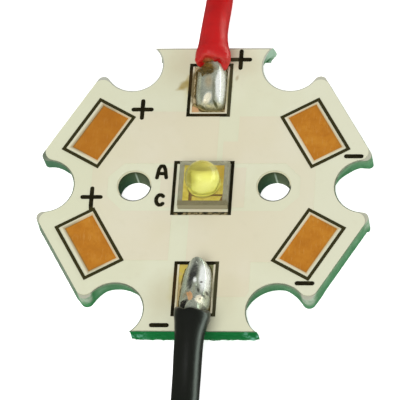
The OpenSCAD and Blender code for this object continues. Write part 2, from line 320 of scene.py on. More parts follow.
# ---------------------------------------------------------------- leads: routes
COIL = np.array([3.6, 27.2])
TURN_R, PITCH, LEAD_D = 10.4, 1.6, 1.6
END_A = 75.5
TIE_A = 346.5
U_END = (225.0 - END_A + 1080.0) / 360.0

RED_ROUTE = [(0.16, 8.35, 2.66), (0.14, 8.8, 2.66), (0.12, 9.3, 2.64), (0.09, 10.2, 2.55),
             (0.09, 11.2, 2.28), (0.09, 12.2, 1.84), (0.08, 13.2, 1.36), (0.05, 14.2, 0.99),
             (-0.09, 15.33, 0.8), (-0.48, 16.38, 0.8), (-1.17, 17.28, 0.8), (-2.46, 18.56, 0.8)]
BLACK_ROUTE = [(0.03, 9.3, 2.66), (0.02, 9.7, 2.65), (-0.01, 10.2, 2.58), (-0.06, 11.1, 2.3),
               (-0.12, 12.0, 1.88), (-0.17, 12.9, 1.42), (-0.22, 13.7, 1.09), (-0.25, 14.5, 0.9),
               (-0.38, 15.61, 0.8), (-0.75, 16.64, 0.8), (-1.43, 17.53, 0.8), (-2.59, 18.69, 0.8)]


def smoothstep(t):
    t = min(1.0, max(0.0, t))
    return t * t * (3 - 2 * t)


def coil_point(u):
    """Point of the wound length after u turns."""
    if u < 1.75:
        r = TURN_R - PITCH * u
    elif u < 1.95:
        t = (u - 1.75) / 0.2
        r = ((2 * t**3 - 3 * t**2 + 1) * 7.6 + (t**3 - 2 * t**2 + t) * 0.2 * -PITCH
             + (-2 * t**3 + 3 * t**2) * 7.4 + (t**3 - t**2) * 0.2 * PITCH)
    else:
        r = 7.4 + PITCH * (u - 1.95)
    d = ((r - (TURN_R - PITCH * (u - 1)) + 0.8) % 1.6) - 0.8
    top = 2.4 - 0.107 * (1 - math.cos(2 * math.pi * d / 1.6))
    z = 0.8 + smoothstep((u - 1.6) / 0.5) * (top - 0.8)
    for k in range(4):
        ut = (225.0 - TIE_A + 360.0 + 360.0 * k) / 360.0
        z += 0.3 * math.exp(-((u - ut) / 0.05) ** 2)
    a = math.radians(225.0 - 360.0 * u)
    return np.array([COIL[0] + r * math.cos(a), COIL[1] + r * math.sin(a), z])


def spline(pts, step):
    """Even points along a smooth curve through pts."""
    p = np.asarray(pts, float)
    d = np.sqrt(np.linalg.norm(np.diff(p, axis=0), axis=1))
    t = np.concatenate([[0], np.cumsum(d)])
    m = np.zeros_like(p)
    for i in range(1, len(p) - 1):
        a, b = t[i] - t[i - 1], t[i + 1] - t[i]
        m[i] = ((p[i] - p[i - 1]) / a * b + (p[i + 1] - p[i]) / b * a) / (a + b)
    m[0] = (p[1] - p[0]) / (t[1] - t[0])
    m[-1] = (p[-1] - p[-2]) / (t[-1] - t[-2])
    out = []
    for i in range(len(p) - 1):
        h = t[i + 1] - t[i]
        for s in np.linspace(0, 1, 24, endpoint=False):
            out.append((2 * s**3 - 3 * s**2 + 1) * p[i] + (s**3 - 2 * s**2 + s) * h * m[i]
                       + (-2 * s**3 + 3 * s**2) * p[i + 1] + (s**3 - s**2) * h * m[i + 1])
    out.append(p[-1])
    out = np.array(out)
    L = np.concatenate([[0], np.cumsum(np.linalg.norm(np.diff(out, axis=0), axis=1))])
    n = max(2, int(round(L[-1] / step)))
    q = np.linspace(0, L[-1], n + 1)
    return np.stack([np.interp(q, L, out[:, k]) for k in range(3)], 1), q


def lead_path(route, mirror):
    pts = [np.array(p, float) for p in route]
    for u in np.arange(0.0, U_END + 1e-6, 1 / 40.0):
        pts.append(coil_point(min(u, U_END)))
    if U_END - (len(pts) - len(route) - 1) / 40.0 > 0.004:
        pts.append(coil_point(U_END))
    p, s = spline(pts, 0.25)
    if mirror:
        p = p * np.array([1, -1, 1])
    return p, s


def frames(p):
    """Heading, side and up at every point of a path."""
    t = np.gradient(p, axis=0)
    t /= np.linalg.norm(t, axis=1)[:, None]
    side = np.cross(t, [0, 0, 1.0])
    side /= np.linalg.norm(side, axis=1)[:, None]
    up = np.cross(side, t)
    return t, side, up


def resample(p, s, at):
    return np.stack([np.interp(at, s, p[:, k]) for k in range(3)], 1)


def rings_to_mesh(name, rings, closed_caps=True):
    """Mesh from equal rings of points, with a fan at each end."""
    n = len(rings[0])
    verts = [tuple(v) for r in rings for v in r]
    faces = []
    for i in range(len(rings) - 1):
        for j in range(n):
            k = (j + 1) % n
            faces.append((i * n + j, i * n + k, (i + 1) * n + k, (i + 1) * n + j))
    if closed_caps:
        for base in (0, (len(rings) - 1) * n):
            c = len(verts)
            verts.append(tuple(np.mean([verts[base + j] for j in range(n)], axis=0)))
            for j in range(n):
                k = (j + 1) % n
                faces.append((base + k, base + j, c) if base == 0 else (base + j, base + k, c))
    return make_mesh(name, verts, faces)


def lead_mesh(name, path, s, width, rim, lumps, seed, around=40):
    """Insulated lead: swollen and melted at the joint, cut square at the far end."""
    at = np.concatenate([np.arange(0, 3.0, 0.06), np.arange(3.0, 14.0, 0.2),
                         np.arange(14.0, s[-1], 0.42), [s[-1]]])
    c = resample(path, s, at)
    t, side, up = frames(c)
    th = np.arange(around) * 360.0 / around
    rings = []
    for i, si in enumerate(at):
        w = width(si) / 2
        flat = 1.0 - 0.12 * math.exp(-(si / 1.4) ** 2)
        ring = []
        for a in th:
            ca, sa = math.cos(math.radians(a)), math.sin(math.radians(a))
            q = c[i] + side[i] * ca * w + up[i] * sa * w * flat
            k = 1.0 + lumps(si, a, q)
            k += 0.006 * nz(q, 1.1, seed) + 0.003 * nz(q, 4.0, seed + 5)
            pull = rim(a) * math.exp(-(si / 0.55) ** 2)
            q = c[i] + side[i] * ca * w * k + up[i] * sa * w * flat * k - t[i] * pull
            q[2] = max(q[2], 0.002)
            ring.append(q)
        rings.append(np.array(ring))
    # rolled lip at the joint end, melted shut round the strands
    first, mid = rings[0], c[0]
    lip = []
    for share, fwd in ((0.97, 0.035), (0.91, 0.07), (0.83, 0.09), (0.74, 0.085), (0.64, 0.06), (0.53, 0.03),
                       (0.42, 0.01), (0.30, 0.0), (0.17, 0.0)):
        ring = []
        for v in first:
            along = np.dot(v - mid, t[0])
            q = mid + (v - mid - t[0] * along) * share
            melt = fwd + (1.0 - share) * 0.30 * fractal(q, 1.7, seed + 7, 3) + 0.05 * (1 - share) * nz(q, 5.0, seed)
            ring.append(q + t[0] * (along * min(1.0, 0.25 + share * 0.8) - melt))
        lip.append(np.array(ring))
    # cut end: flat face with a shallow bore
    last, e = rings[-1], t[-1]
    tail = [np.array([c[-1] + (v - c[-1]) * k + e * f for v in last])
            for k, f in ((0.97, 0.03), (0.90, 0.04), (0.56, 0.035), (0.50, 0.0), (0.49, -0.4))]
    return rings_to_mesh(name, lip[::-1] + rings + tail)


def red_width(s):
    return float(interp(s, [0, 0.2, 0.5, 0.9, 1.27, 1.8, 2.4, 5, 9, 13, 300],
                        [2.02, 2.16, 2.2, 2.0, 1.86, 1.76, 1.70, 1.68, 1.66, 1.6, 1.6]))


def black_width(s):
    return float(interp(s, [0, 0.1, 0.35, 0.8, 1.2, 1.8, 3.0, 5, 9, 13, 300],
                        [2.08, 2.16, 2.14, 1.95, 1.86, 1.78, 1.74, 1.71, 1.68, 1.6, 1.6]))


def red_rim(a):
    return (0.02 + 0.33 * ang_bump(a, -38, 30) + 0.10 * ang_bump(a, 205, 28) - 0.12 * ang_bump(a, 100, 34)
            - 0.16 * ang_bump(a, 262, 24) + 0.05 * ang_bump(a, 58, 16) + 0.03 * math.sin(math.radians(a * 5)))


def red_lumps(s, a, q):
    e = math.exp(-(s / 0.75) ** 2)
    fold = 0.06 * ang_bump(a, 15, 24) - 0.09 * ang_bump(a, 62, 13) + 0.06 * ang_bump(a, 100, 20)
    fold += -0.08 * ang_bump(a, 150, 16) + 0.05 * ang_bump(a, 190, 20)
    return e * (fold * math.exp(-((s - 0.1) / 0.5) ** 2) + 0.07 * fractal(q, 1.9, 4.2, 3))


def black_rim(a):
    return (0.14 * ang_bump(a, 0, 30) - 0.12 * ang_bump(a, 78, 30) - 0.20 * ang_bump(a, 122, 34) + 0.06 * ang_bump(a, 186, 24)
            + 0.05 * math.sin(math.radians(a * 4 + 30)) + 0.03 * math.sin(math.radians(a * 9)))


def black_lumps(s, a, q):
    wide = 0.10 * ang_bump(a, 180, 42) * math.exp(-((s - 0.55) / 0.65) ** 2)
    return wide + math.exp(-(s / 0.7) ** 2) * (0.018 * fractal(q, 2.0, 9.1, 3))


RED_PATH, RED_S = lead_path(RED_ROUTE, False)
BLACK_PATH, BLACK_S = lead_path(BLACK_ROUTE, True)


# ---------------------------------------------------------------- materials
def pvc(name, base, dark, light, rough, spec, seed, burnt=None):
    k = Shade(name)
    n1 = k.noise(0.9, 3, 0.5, seed=seed)
    n2 = k.noise(14.0, 2, 0.6, seed=seed + 2)
    col = k.mix(k.step(n1, 0.35, 0.7), base, dark)
    col = k.mix(k.mul(k.step(n2, 0.56, 0.75), 0.25), col, light)
    if burnt:
        # melted end: darker towards the end, a painted pinkish highlight on the drawn ridges at the top, and flux that
        # has run up the middle
        x, y, z = k.xyz()
        n3 = k.noise(2.4, 4, 0.6, seed=seed + 11)
        w = k.mul(k.sub(n3, 0.5), 0.5)
        end = k.step(k.add(y, w), 8.62, 8.34)
        # pale marks the painted pinkish highlight along the top ridges
        pale = k.mul(k.mul(end, k.step(k.add(z, w), 2.75, 3.15)), k.step(n3, 0.36, 0.6))
        col = k.mix(k.mul(k.step(k.add(y, w), 9.2, 8.7), 0.5), col, dark)
        col = k.mix(k.mul(pale, 0.08), col, burnt[0])
        mid = k.mul(k.step(k.math("ABSOLUTE", k.add(k.add(x, 0.10), w)), 0.44, 0.20), k.step(k.add(z, w), 3.15, 2.75))
        col = k.mix(k.mul(k.mul(end, mid), 0.9), col, burnt[1])
    long_lines = k.noise(3.0, 3, 0.6, stretch=(2.2, 0.12, 2.2), seed=seed + 6)
    h = k.add(k.mul(long_lines, 0.6), k.mul(n2, 0.4))
    r = k.lin(n1, 0.3, 0.7, rough - 0.04, rough + 0.06)
    return k.finish(Base_Color=col, Roughness=r, Specular_IOR_Level=spec,
                    Normal=k.bump(h, 0.12, 0.02))


M_RED = pvc("red_pvc", srgb(195, 12, 14), srgb(182, 8, 10), srgb(204, 20, 22), 0.36, 0.75, 1.0,
            (srgb(222, 112, 96), srgb(122, 88, 38)))
M_BLACK = pvc("black_pvc", (0.0085, 0.0102, 0.0076), (0.0070, 0.0086, 0.0062), (0.0120, 0.0138, 0.0108), 0.33, 0.75, 4.0)


def tin(name, base, dark, rough, seed, flux=0.0):
    """Bright solder or tinned metal with grain and a little flux stain."""
    k = Shade(name)
    n1 = k.noise(1.6, 4, 0.6, seed=seed)
    n2 = k.noise(11.0, 3, 0.65, seed=seed + 3)
    col = k.mix(k.step(n1, 0.40, 0.72), base, dark)
    col = k.mix(k.mul(k.step(n2, 0.60, 0.80), 0.5), col, dark)
    if flux:
        n3 = k.noise(2.2, 4, 0.7, seed=seed + 9)
        col = k.mix(k.mul(k.step(n3, 0.58, 0.74), flux), col, (0.20, 0.13, 0.04))
    r = k.lin(n2, 0.25, 0.8, rough - 0.05, rough + 0.12)
    return k.finish(Base_Color=col, Metallic=1.0, Roughness=r,
                    Normal=k.bump(k.add(k.mul(n1, 0.7), k.mul(n2, 0.3)), 0.25, 0.03))


def mat_solder():
    """Solder with soft grain, brown burnt flux at the rear joint and an olive foot; highlights, one dark reflection and
    some shade are painted.
    """
    k = Shade("solder")
    x, y, z = k.xyz()
    n1 = k.noise(1.5, 4, 0.6, seed=2.0)
    n2 = k.noise(6.0, 3, 0.6, seed=5.0)
    n3 = k.noise(2.6, 4, 0.7, seed=11.0)
    col = k.mix(k.step(n1, 0.38, 0.70), (0.54, 0.58, 0.47), (0.43, 0.47, 0.37))
    col = k.mix(k.mul(k.step(n2, 0.56, 0.78), 0.20), col, (0.34, 0.36, 0.30))
    # front joint: grey-green left flank, a painted dark reflection along the drawn-out ridge, a painted highlight band
    # at the right
    flank = k.mul(k.step(y, -5.0, -5.3), k.step(x, -0.35, -0.55))
    col = k.mix(k.mul(flank, 0.7), col, (0.27, 0.33, 0.25))
    ridge = k.blob(-0.11, -6.58, 0.34, 1.22, 0.42, 0.7, 2.2, 6.0, -0.24)
    ridge = k.mul(ridge, k.lin(k.noise(3.0, 3, 0.6, seed=17.0), 0.35, 0.65, 1.0, 0.80))
    col = k.mix(ridge, col, (0.058, 0.060, 0.056))
    strip = k.blob(0.03, -7.70, 0.09, 0.62, 0.3, 0.5, 2.0, 8.0)
    col = k.mix(k.mul(strip, 0.8), col, (0.52, 0.55, 0.38))
    pale = k.blob(0.60, -6.75, 0.42, 1.20, 0.55, 0.6, 1.8, 9.0)
    cream = k.blob(0.43, -8.38, 0.34, 0.46, 0.45, 0.6, 2.4, 12.0)
    spot = k.blob(0.04, -6.97, 0.16, 0.24, 0.3, 0.5, 2.4, 14.0)
    # rear joint: painted highlights, a pale band on the right ridge and a cream patch at the front left
    bright = k.blob(0.69, 6.75, 0.38, 1.38, 0.62, 0.5, 1.6, 4.0)
    patch = k.blob(-0.09, 5.95, 0.27, 0.60, 0.48, 0.5, 2.0, 21.0, -0.45)
    # all of these are painted highlights: near white, cream on the cream patches
    painted_highlight = k.math("MAXIMUM", k.math("MAXIMUM", pale, cream), k.math("MAXIMUM", k.math("MAXIMUM", bright, patch), spot))
    warm = k.math("MAXIMUM", cream, patch)
    col = k.mix(k.mul(painted_highlight, 0.9), col, k.mix(warm, (0.93, 0.96, 0.92), (0.96, 0.90, 0.68)))
    pit = k.step(k.noise(3.4, 3, 0.6, seed=23.0), 0.60, 0.68)
    pit = k.mul(k.mul(pit, k.step(y, -5.9, -6.4)), 0.6)
    for cx, cy, rx, ry, turn in ((0.29, -7.66, 0.13, 0.36, 0.25), (0.80, -7.75, 0.15, 0.16, 0.6), (0.63, -8.10, 0.17, 0.14, -0.5),
                                 (0.44, -7.10, 0.12, 0.08, 0.2), (-0.20, -7.45, 0.13, 0.32, -0.2)):
        pit = k.math("MAXIMUM", pit, k.blob(cx, cy, rx, ry, 0.35, 0.8, 3.0, 40.0 + cx, turn))
    pit = k.math("MAXIMUM", pit, k.blob(-0.48, -8.60, 0.36, 0.30, 0.5, 0.7, 2.4, 51.0))
    col = k.mix(k.mul(pit, 0.92), col, (0.035, 0.036, 0.026))
    # flux skin: brown by the rear insulation, thinner down the middle and in the hollows; the valley between the ridges
    # is olive flux with painted shade
    burnt = k.blob(-0.24, 7.90, 0.82, 0.62, 0.45, 0.8, 2.2, 3.0)
    tan = k.mul(k.blob(-0.06, 7.05, 0.40, 0.75, 0.2, 0.6, 1.8, 15.0), 0.75)
    valley = k.mul(k.blob(0.27, 6.40, 0.13, 1.35, 0.35, 0.6, 2.0, 5.0), 0.62)
    film = k.mul(k.step(n3, 0.58, 0.74), 0.30)
    foot = k.step(k.add(z, k.mul(k.sub(n3, 0.5), 0.45)), 1.96, 1.66)
    amber = k.mul(k.blob(-0.45, -8.0, 0.42, 0.42, 0.2, 0.8, 2.4, 8.0), 0.6)
    col = k.mix(k.math("MAXIMUM", tan, film), col, k.mix(k.step(n2, 0.4, 0.6), srgb(168, 150, 116), srgb(146, 128, 90)))
    col = k.mix(k.math("MAXIMUM", burnt, amber), col, k.mix(k.step(n2, 0.4, 0.6), srgb(118, 92, 38), srgb(84, 68, 28)))
    col = k.mix(valley, col, srgb(76, 72, 42))
    toe = k.mul(k.step(y, 5.80, 5.58), k.step(y, 0.0, 1.0))
    col = k.mix(k.mul(toe, 0.65), col, k.mix(k.step(n2, 0.42, 0.6), srgb(128, 122, 76), srgb(186, 178, 132)))
    lines = k.math("MAXIMUM", k.blob(0.42, 5.62, 0.12, 0.42, 0.4, 0.5, 2.0, 53.0, 0.5),
                   k.blob(-0.48, 5.56, 0.40, 0.085, 0.4, 0.5, 2.0, 55.0, -0.56))
    col = k.mix(k.mul(k.blob(0.05, 5.50, 0.26, 0.09, 0.4, 0.5, 2.0, 57.0, -0.2), 0.8), col, srgb(210, 204, 156))
    col = k.mix(k.mul(lines, 0.9), col, srgb(64, 66, 28))
    col = k.mix(k.mul(foot, 0.85), col, k.mix(k.step(n1, 0.4, 0.6), srgb(84, 78, 40), srgb(136, 132, 88)))
    valley = k.math("MAXIMUM", valley, k.math("MAXIMUM", toe, lines))
    # parts that lose most of their metal: flux, pits and the grey-green flank, the valley with its painted shade, and
    # the painted highlights
    dirt_shade_and_highlight = k.math("MAXIMUM", k.math("MAXIMUM", burnt, valley), k.math("MAXIMUM", k.math("MAXIMUM", foot, tan), amber))
    dirt_shade_and_highlight = k.math("MAXIMUM", dirt_shade_and_highlight, k.math("MAXIMUM", k.mul(painted_highlight, 0.7), k.math("MAXIMUM", k.mul(flank, 0.6), k.mul(pit, 0.9))))
    metal = k.mul(k.math("SUBTRACT", 1.0, k.mul(dirt_shade_and_highlight, 0.9)), 0.50)
    r = k.lin(n2, 0.25, 0.8, 0.22, 0.34)
    return k.finish(Base_Color=col, Metallic=metal, Roughness=r, Specular_IOR_Level=0.5,
                    Normal=k.bump(k.add(k.mul(n1, 0.85), k.mul(n2, 0.15)), 0.12, 0.03))


M_SOLDER = mat_solder()
M_STRANDS = tin("tinned_strands", (0.66, 0.64, 0.58), (0.42, 0.38, 0.30), 0.28, 7.0, 0.35)


def mat_tie():
    k = Shade("tie_plastic")
    n = k.noise(3.0, 3, 0.5)
    f = k.noise(20.0, 2, 0.5)
    col = k.mix(k.step(n, 0.35, 0.7), (0.72, 0.70, 0.62), (0.60, 0.58, 0.50))
    return k.finish(Base_Color=col, Roughness=k.lin(f, 0.3, 0.7, 0.32, 0.48),
                    Subsurface_Weight=0.15, Subsurface_Radius=(0.0006, 0.0006, 0.0005),
                    Normal=k.bump(f, 0.15, 0.02))


M_TIE = mat_tie()


# ---------------------------------------------------------------- leads: pieces
def strands(name, path, radius, strand_d, turns, ends=0.0, count=6, seed=0.0, sides=10, squeeze=1.0):
    """Twisted bundle: one strand in the middle and others wound round it."""
    rng = np.random.RandomState(int(seed * 10) + 3)
    p, s = spline(path, 0.12)
    t, side, up = frames(p)
    verts, faces = [], []
    for k in range(count + 1):
        cut = len(p) - int(rng.rand() * ends / 0.12)
        r0 = 0.0 if k == 0 else radius - strand_d / 2
        a0 = 2 * math.pi * k / max(count, 1)
        centre = []
        for i in range(cut):
            a = a0 + 2 * math.pi * turns * s[i] / s[-1]
            w = 1.0 + 0.04 * nz(p[i], 2.0, seed + k)
            w *= 1.0 - (1.0 - squeeze) * smoothstep(s[i] / s[-1] * 1.6)
            centre.append(p[i] + (side[i] * math.cos(a) + up[i] * math.sin(a)) * r0 * w)
        centre = np.array(centre)
        tt, ss, uu = frames(centre)
        base = len(verts)
        prof = [1.0 - (1.0 - squeeze) * smoothstep(s[i] / s[-1] * 1.6) for i in range(len(centre))]
        prof[-1], prof[0] = prof[-1] * 0.6, 0.6
        for i in range(len(centre)):
            for j in range(sides):
                b = 2 * math.pi * j / sides
                verts.append(centre[i] + (ss[i] * math.cos(b) + uu[i] * math.sin(b)) * strand_d / 2 * prof[i])
        n = len(centre)
        for i in range(n - 1):
            for j in range(sides):
                q = (j + 1) % sides
                faces.append((base + i * sides + j, base + i * sides + q,
                              base + (i + 1) * sides + q, base + (i + 1) * sides + j))
        faces.append(tuple(base + j for j in reversed(range(sides))))
        faces.append(tuple(base + (n - 1) * sides + j for j in range(sides)))
    return make_mesh(name, verts, faces)


def tip_path(mirror):
    e = coil_point(U_END)
    before = coil_point(U_END - 0.02)
    d = (e - before) / np.linalg.norm(e - before)
    pts = [e - d * 0.4, e, e + d * 0.5]
    for a, z in ((69.0, 2.33), (64.0, 2.18), (59.0, 2.06), (54.0, 2.0), (50.0, 1.985), (46.5, 1.985)):
        pts.append(np.array([COIL[0] + 9.74 * math.cos(math.radians(a)),
                             COIL[1] + 9.74 * math.sin(math.radians(a)), z]))
    pts = np.array(pts)
    return pts * np.array([1, -1, 1]) if mirror else pts


def coil_to_world(r, z, ang, along, mirror):
    """Point near the coil: radius and height in a cut at ang, and a step along the turn."""
    a = math.radians(ang)
    p = np.array([COIL[0] + r * math.cos(a) - along * math.sin(a),
                  COIL[1] + r * math.sin(a) + along * math.cos(a), z])
    return p * np.array([1, -1, 1]) if mirror else p


def tie_mesh(name, mirror):
    """Flat strip pulled tight round three turns, with its head and a short tail."""
    u0 = (225.0 - TIE_A + 360.0) / 360.0
    cs = []
    for k in range(3):
        q = coil_point(u0 + k)
        cs.append((math.hypot(q[0] - COIL[0], q[1] - COIL[1]), q[2]))
    pts = np.array([(r + 0.82 * math.cos(a), z + 0.82 * math.sin(a))
                    for r, z in cs for a in np.linspace(0, 2 * math.pi, 72, endpoint=False)])
    # outer outline of the three turns
    order = sorted(map(tuple, pts))

    def half(seq):
        h = []
        for q in seq:
            while len(h) > 1 and ((h[-1][0] - h[-2][0]) * (q[1] - h[-2][1])
                                  - (h[-1][1] - h[-2][1]) * (q[0] - h[-2][0])) <= 0:
                h.pop()
            h.append(q)
        return h

    hull = np.array(half(order)[:-1] + half(order[::-1])[:-1])
    L = np.concatenate([[0], np.cumsum(np.linalg.norm(np.diff(np.vstack([hull, hull[:1]]), axis=0), axis=1))])
    q = np.linspace(0, L[-1], 97)[:-1]
    loop = np.stack([np.interp(q, L, np.append(hull[:, k], hull[0, k])) for k in range(2)], 1)
    n = len(loop)
    d = np.roll(loop, -1, 0) - np.roll(loop, 1, 0)
    d /= np.linalg.norm(d, axis=1)[:, None]
    out = np.stack([d[:, 1], -d[:, 0]], 1)
    verts, faces = [], []
    half_w, th = 0.85, 0.26
    prof = [(-half_w, 0.02), (-half_w + 0.06, 0.0), (half_w - 0.06, 0.0), (half_w, 0.02), (half_w, th - 0.07),
            (half_w - 0.07, th), (0.34, th), (0.28, th - 0.03), (-0.28, th - 0.03), (-0.34, th),
            (-half_w + 0.07, th), (-half_w, th - 0.07)]
    m = len(prof)
    for i in range(n):
        rib = 0.02 if (i % 3 == 0) else 0.0
        for a, b in prof:
            bb = b - (rib if abs(a) < 0.3 and b > 0.1 else 0.0)
            verts.append(coil_to_world(loop[i, 0] + out[i, 0] * bb, loop[i, 1] + out[i, 1] * bb, TIE_A, a, mirror))
    for i in range(n):
        k = (i + 1) % n
        for j in range(m):
            j2 = (j + 1) % m
            faces.append((i * m + j, i * m + j2, k * m + j2, k * m + j))
    # head on the inner flank, and the tail that comes out of it
    h_at = min(range(n), key=lambda i: abs(loop[i, 1] - 2.35) + (10 if loop[i, 0] > 8.2 else 0))
    o, g = out[h_at], d[h_at]
    c0 = loop[h_at]

    def block(cx, cn, ct, sx, sn, st, cham):
        """Chamfered block: along the turn, outwards and along the strip."""
        base = len(verts)
        for e, sc in ((-1, 1 - cham), (-1 + cham, 1), (1 - cham, 1), (1, 1 - cham)):
            for (p2, q2) in ((-1, -1 + cham), (-1 + cham, -1), (1 - cham, -1), (1, -1 + cham),
                             (1, 1 - cham), (1 - cham, 1), (-1 + cham, 1), (-1, 1 - cham)):
                nn = cn + sn * q2 * sc
                tt = ct + st * e
                rz = c0 + o * nn + g * tt
                verts.append(coil_to_world(rz[0], rz[1], TIE_A, cx + sx * p2 * sc, mirror))
        for r in range(3):
            for j in range(8):
                j2 = (j + 1) % 8
                faces.append((base + r * 8 + j, base + r * 8 + j2, base + r * 8 + 8 + j2, base + r * 8 + 8 + j))
        faces.append(tuple(base + j for j in range(8)))
        faces.append(tuple(base + 24 + j for j in range(8)))

    block(0.0, 0.42, 0.0, 0.98, 0.36, 0.62, 0.22)
    block(0.0, 0.46, 0.95, 0.62, 0.11, 0.45, 0.25)
    return make_mesh(name, verts, faces, smooth=False)


def build_leads():
    made = []
    for colour, path, s, width, rim, lumps, mat, slot, mirror, seed in (
            ("red", RED_PATH, RED_S, red_width, red_rim, red_lumps, M_RED, "red_pvc", False, 1.0),
            ("black", BLACK_PATH, BLACK_S, black_width, black_rim, black_lumps, M_BLACK, "black_pvc", True, 2.0)):
        ob = lead_mesh(colour + "_insulation", path, s, width, rim, lumps, seed)
        settle(ob, mat, slot, colour + "_lead", colour + "_lead_coil")
        tie = tie_mesh(colour + "_tie_strip", mirror)
        bev = tie.modifiers.new("edge", "BEVEL")
        bev.width, bev.segments, bev.limit_method = 0.00003, 2, "ANGLE"
        settle(tie, M_TIE, "tie_plastic", colour + "_lead_tie")
        tip = strands(colour + "_tinned_end", tip_path(mirror), 0.37, 0.25, 0.85, ends=0.3, seed=seed)
        settle(tip, M_STRANDS, "tinned_strands", colour + "_lead_tip")
        made.append(ob)
    return made


build_leads()


# ---------------------------------------------------------------- laminate
NOTCH_R, NOTCH_D, CORNER_R = 1.78, 19.9 / 2, 0.42
ROUT, SCORE = 10.08, 10.0


def score(a):
    """Distance of a scored edge from the middle of the routed cuts."""
    return SCORE - ROUT_Y * math.sin(math.radians(a))


# How soon the wall of a notch leans back, from each of its two ends
LEAN = {0: ((0.0, 0.45), (0.75, 0.5)), 60: ((0.0, 0.45), (0.5, 0.5)), 120: ((0.0, 0.45), (0.0, 0.45)),
        180: ((0.95, 0.3), (0.0, 0.45)), 240: ((0.45, 1.2), (0.0, 0.45)), 300: ((0.0, 0.45), (0.40, 1.4))}
# the same where the round corner before or after the notch meets the straight edge
CORNER_LEAN = {(30, 0): 0.10, (150, 1): 0.30, (210, 1): 0.40, (330, 0): 0.35}
# these corners are cut back towards the rear instead of square to the wall
CUT_BACK = ((-9.64, 2.1), (9.64, 2.1), (-6.65, -7.3), (6.65, -7.3))


def corner_shift(x, y, z):
    """How far the end of a scored edge stands out (+) or back (-) below the top."""
    d = 1.45 - z
    if y > 0:
        return float(interp(d, [0.0, 0.80, 1.4], [-0.04, 0.12, -0.42])) if x > 0 else -0.40 * min(1.0, d / 0.6)
    return -0.04 + 0.07 * min(1.0, d / 0.4) if x > 0 else -0.10 * min(1.0, d / 0.1)


def star_outline():
    """Outline points with a tag ('r' routed, 's' scored edge) and how far the wall leans back."""
    nx, ny = NOTCH_D * math.cos(math.pi / 6), NOTCH_D * math.sin(math.pi / 6)
    pts = []
    for a in (30, 90, 150, 210, 270, 330):
        ca, sa = math.cos(math.radians(a)), math.sin(math.radians(a))

        def put(x, y, tag, lean=0.0):
            pts.append((x * ca - y * sa, x * sa + y * ca + ROUT_Y, tag, lean))

        before, after = LEAN[(a - 30) % 360][1][0], LEAN[(a + 30) % 360][0][0]
        edge0, edge1 = CORNER_LEAN.get((a, 0), before), CORNER_LEAN.get((a, 1), after)
        if a in (90, 270):
            y1 = ny - math.sqrt(NOTCH_R**2 - (score(a) - nx) ** 2)
            for y in np.linspace(-y1, y1, 97):
                put(score(a), y, "s")
            start = math.atan2(y1 - ny, score(a) - nx)
        else:
            fx = ROUT - CORNER_R
            fy = ny - math.sqrt((NOTCH_R + CORNER_R) ** 2 - (fx - nx) ** 2)
            ang = math.atan2(ny - fy, nx - fx)
            edge = 0.3 if a == 330 else 0.0
            for t in np.linspace(ang, 0, 15):
                put(fx + CORNER_R * math.cos(t), -fy - CORNER_R * math.sin(t), "r", edge0 + (before - edge0) * t / ang)
            for y in np.linspace(-fy, fy, 60)[1:-1]:
                near = max(edge0 * smoothstep(1 - (y + fy) / 0.7), edge1 * smoothstep(1 - (fy - y) / 0.7))
                put(ROUT, y, "r", max(edge, near))
            for t in np.linspace(0, ang, 15):
                put(fx + CORNER_R * math.cos(t), fy + CORNER_R * math.sin(t), "r", edge1 + (after - edge1) * t / ang)
            start = math.atan2(fy + CORNER_R * math.sin(ang) - ny, fx + CORNER_R * math.cos(ang) - nx)
        # notch towards the next arm, on the inner side of its circle
        b = a + 60
        if b % 360 in (90, 270):
            y1 = ny - math.sqrt(NOTCH_R**2 - (score(b) - nx) ** 2)
            ex, ey = score(b), -y1
        else:
            fx = ROUT - CORNER_R
            fy = ny - math.sqrt((NOTCH_R + CORNER_R) ** 2 - (fx - nx) ** 2)
            ang = math.atan2(ny - fy, nx - fx)
            ex, ey = fx + CORNER_R * math.cos(ang), -fy - CORNER_R * math.sin(ang)
        c60, s60 = math.cos(math.pi / 3), math.sin(math.pi / 3)
        gx, gy = ex * c60 - ey * s60, ex * s60 + ey * c60
        stop = math.atan2(gy - ny, gx - nx)
        if start > 0:
            start -= 2 * math.pi
        while stop > start:
            stop -= 2 * math.pi
        # its wall leans back towards the underside
        (l0, w0), (l1, w1) = LEAN[(a + 30) % 360]
        for t in np.linspace(start, stop, 60)[1:-1]:
            g0, g1 = NOTCH_R * (start - t), NOTCH_R * (t - stop)
            lean = min(l0 + (1 - l0) * smoothstep(g0 / w0), l1 + (1 - l1) * smoothstep(g1 / w1))
            put(nx + NOTCH_R * math.cos(t), ny + NOTCH_R * math.sin(t), "r", lean)
    return pts


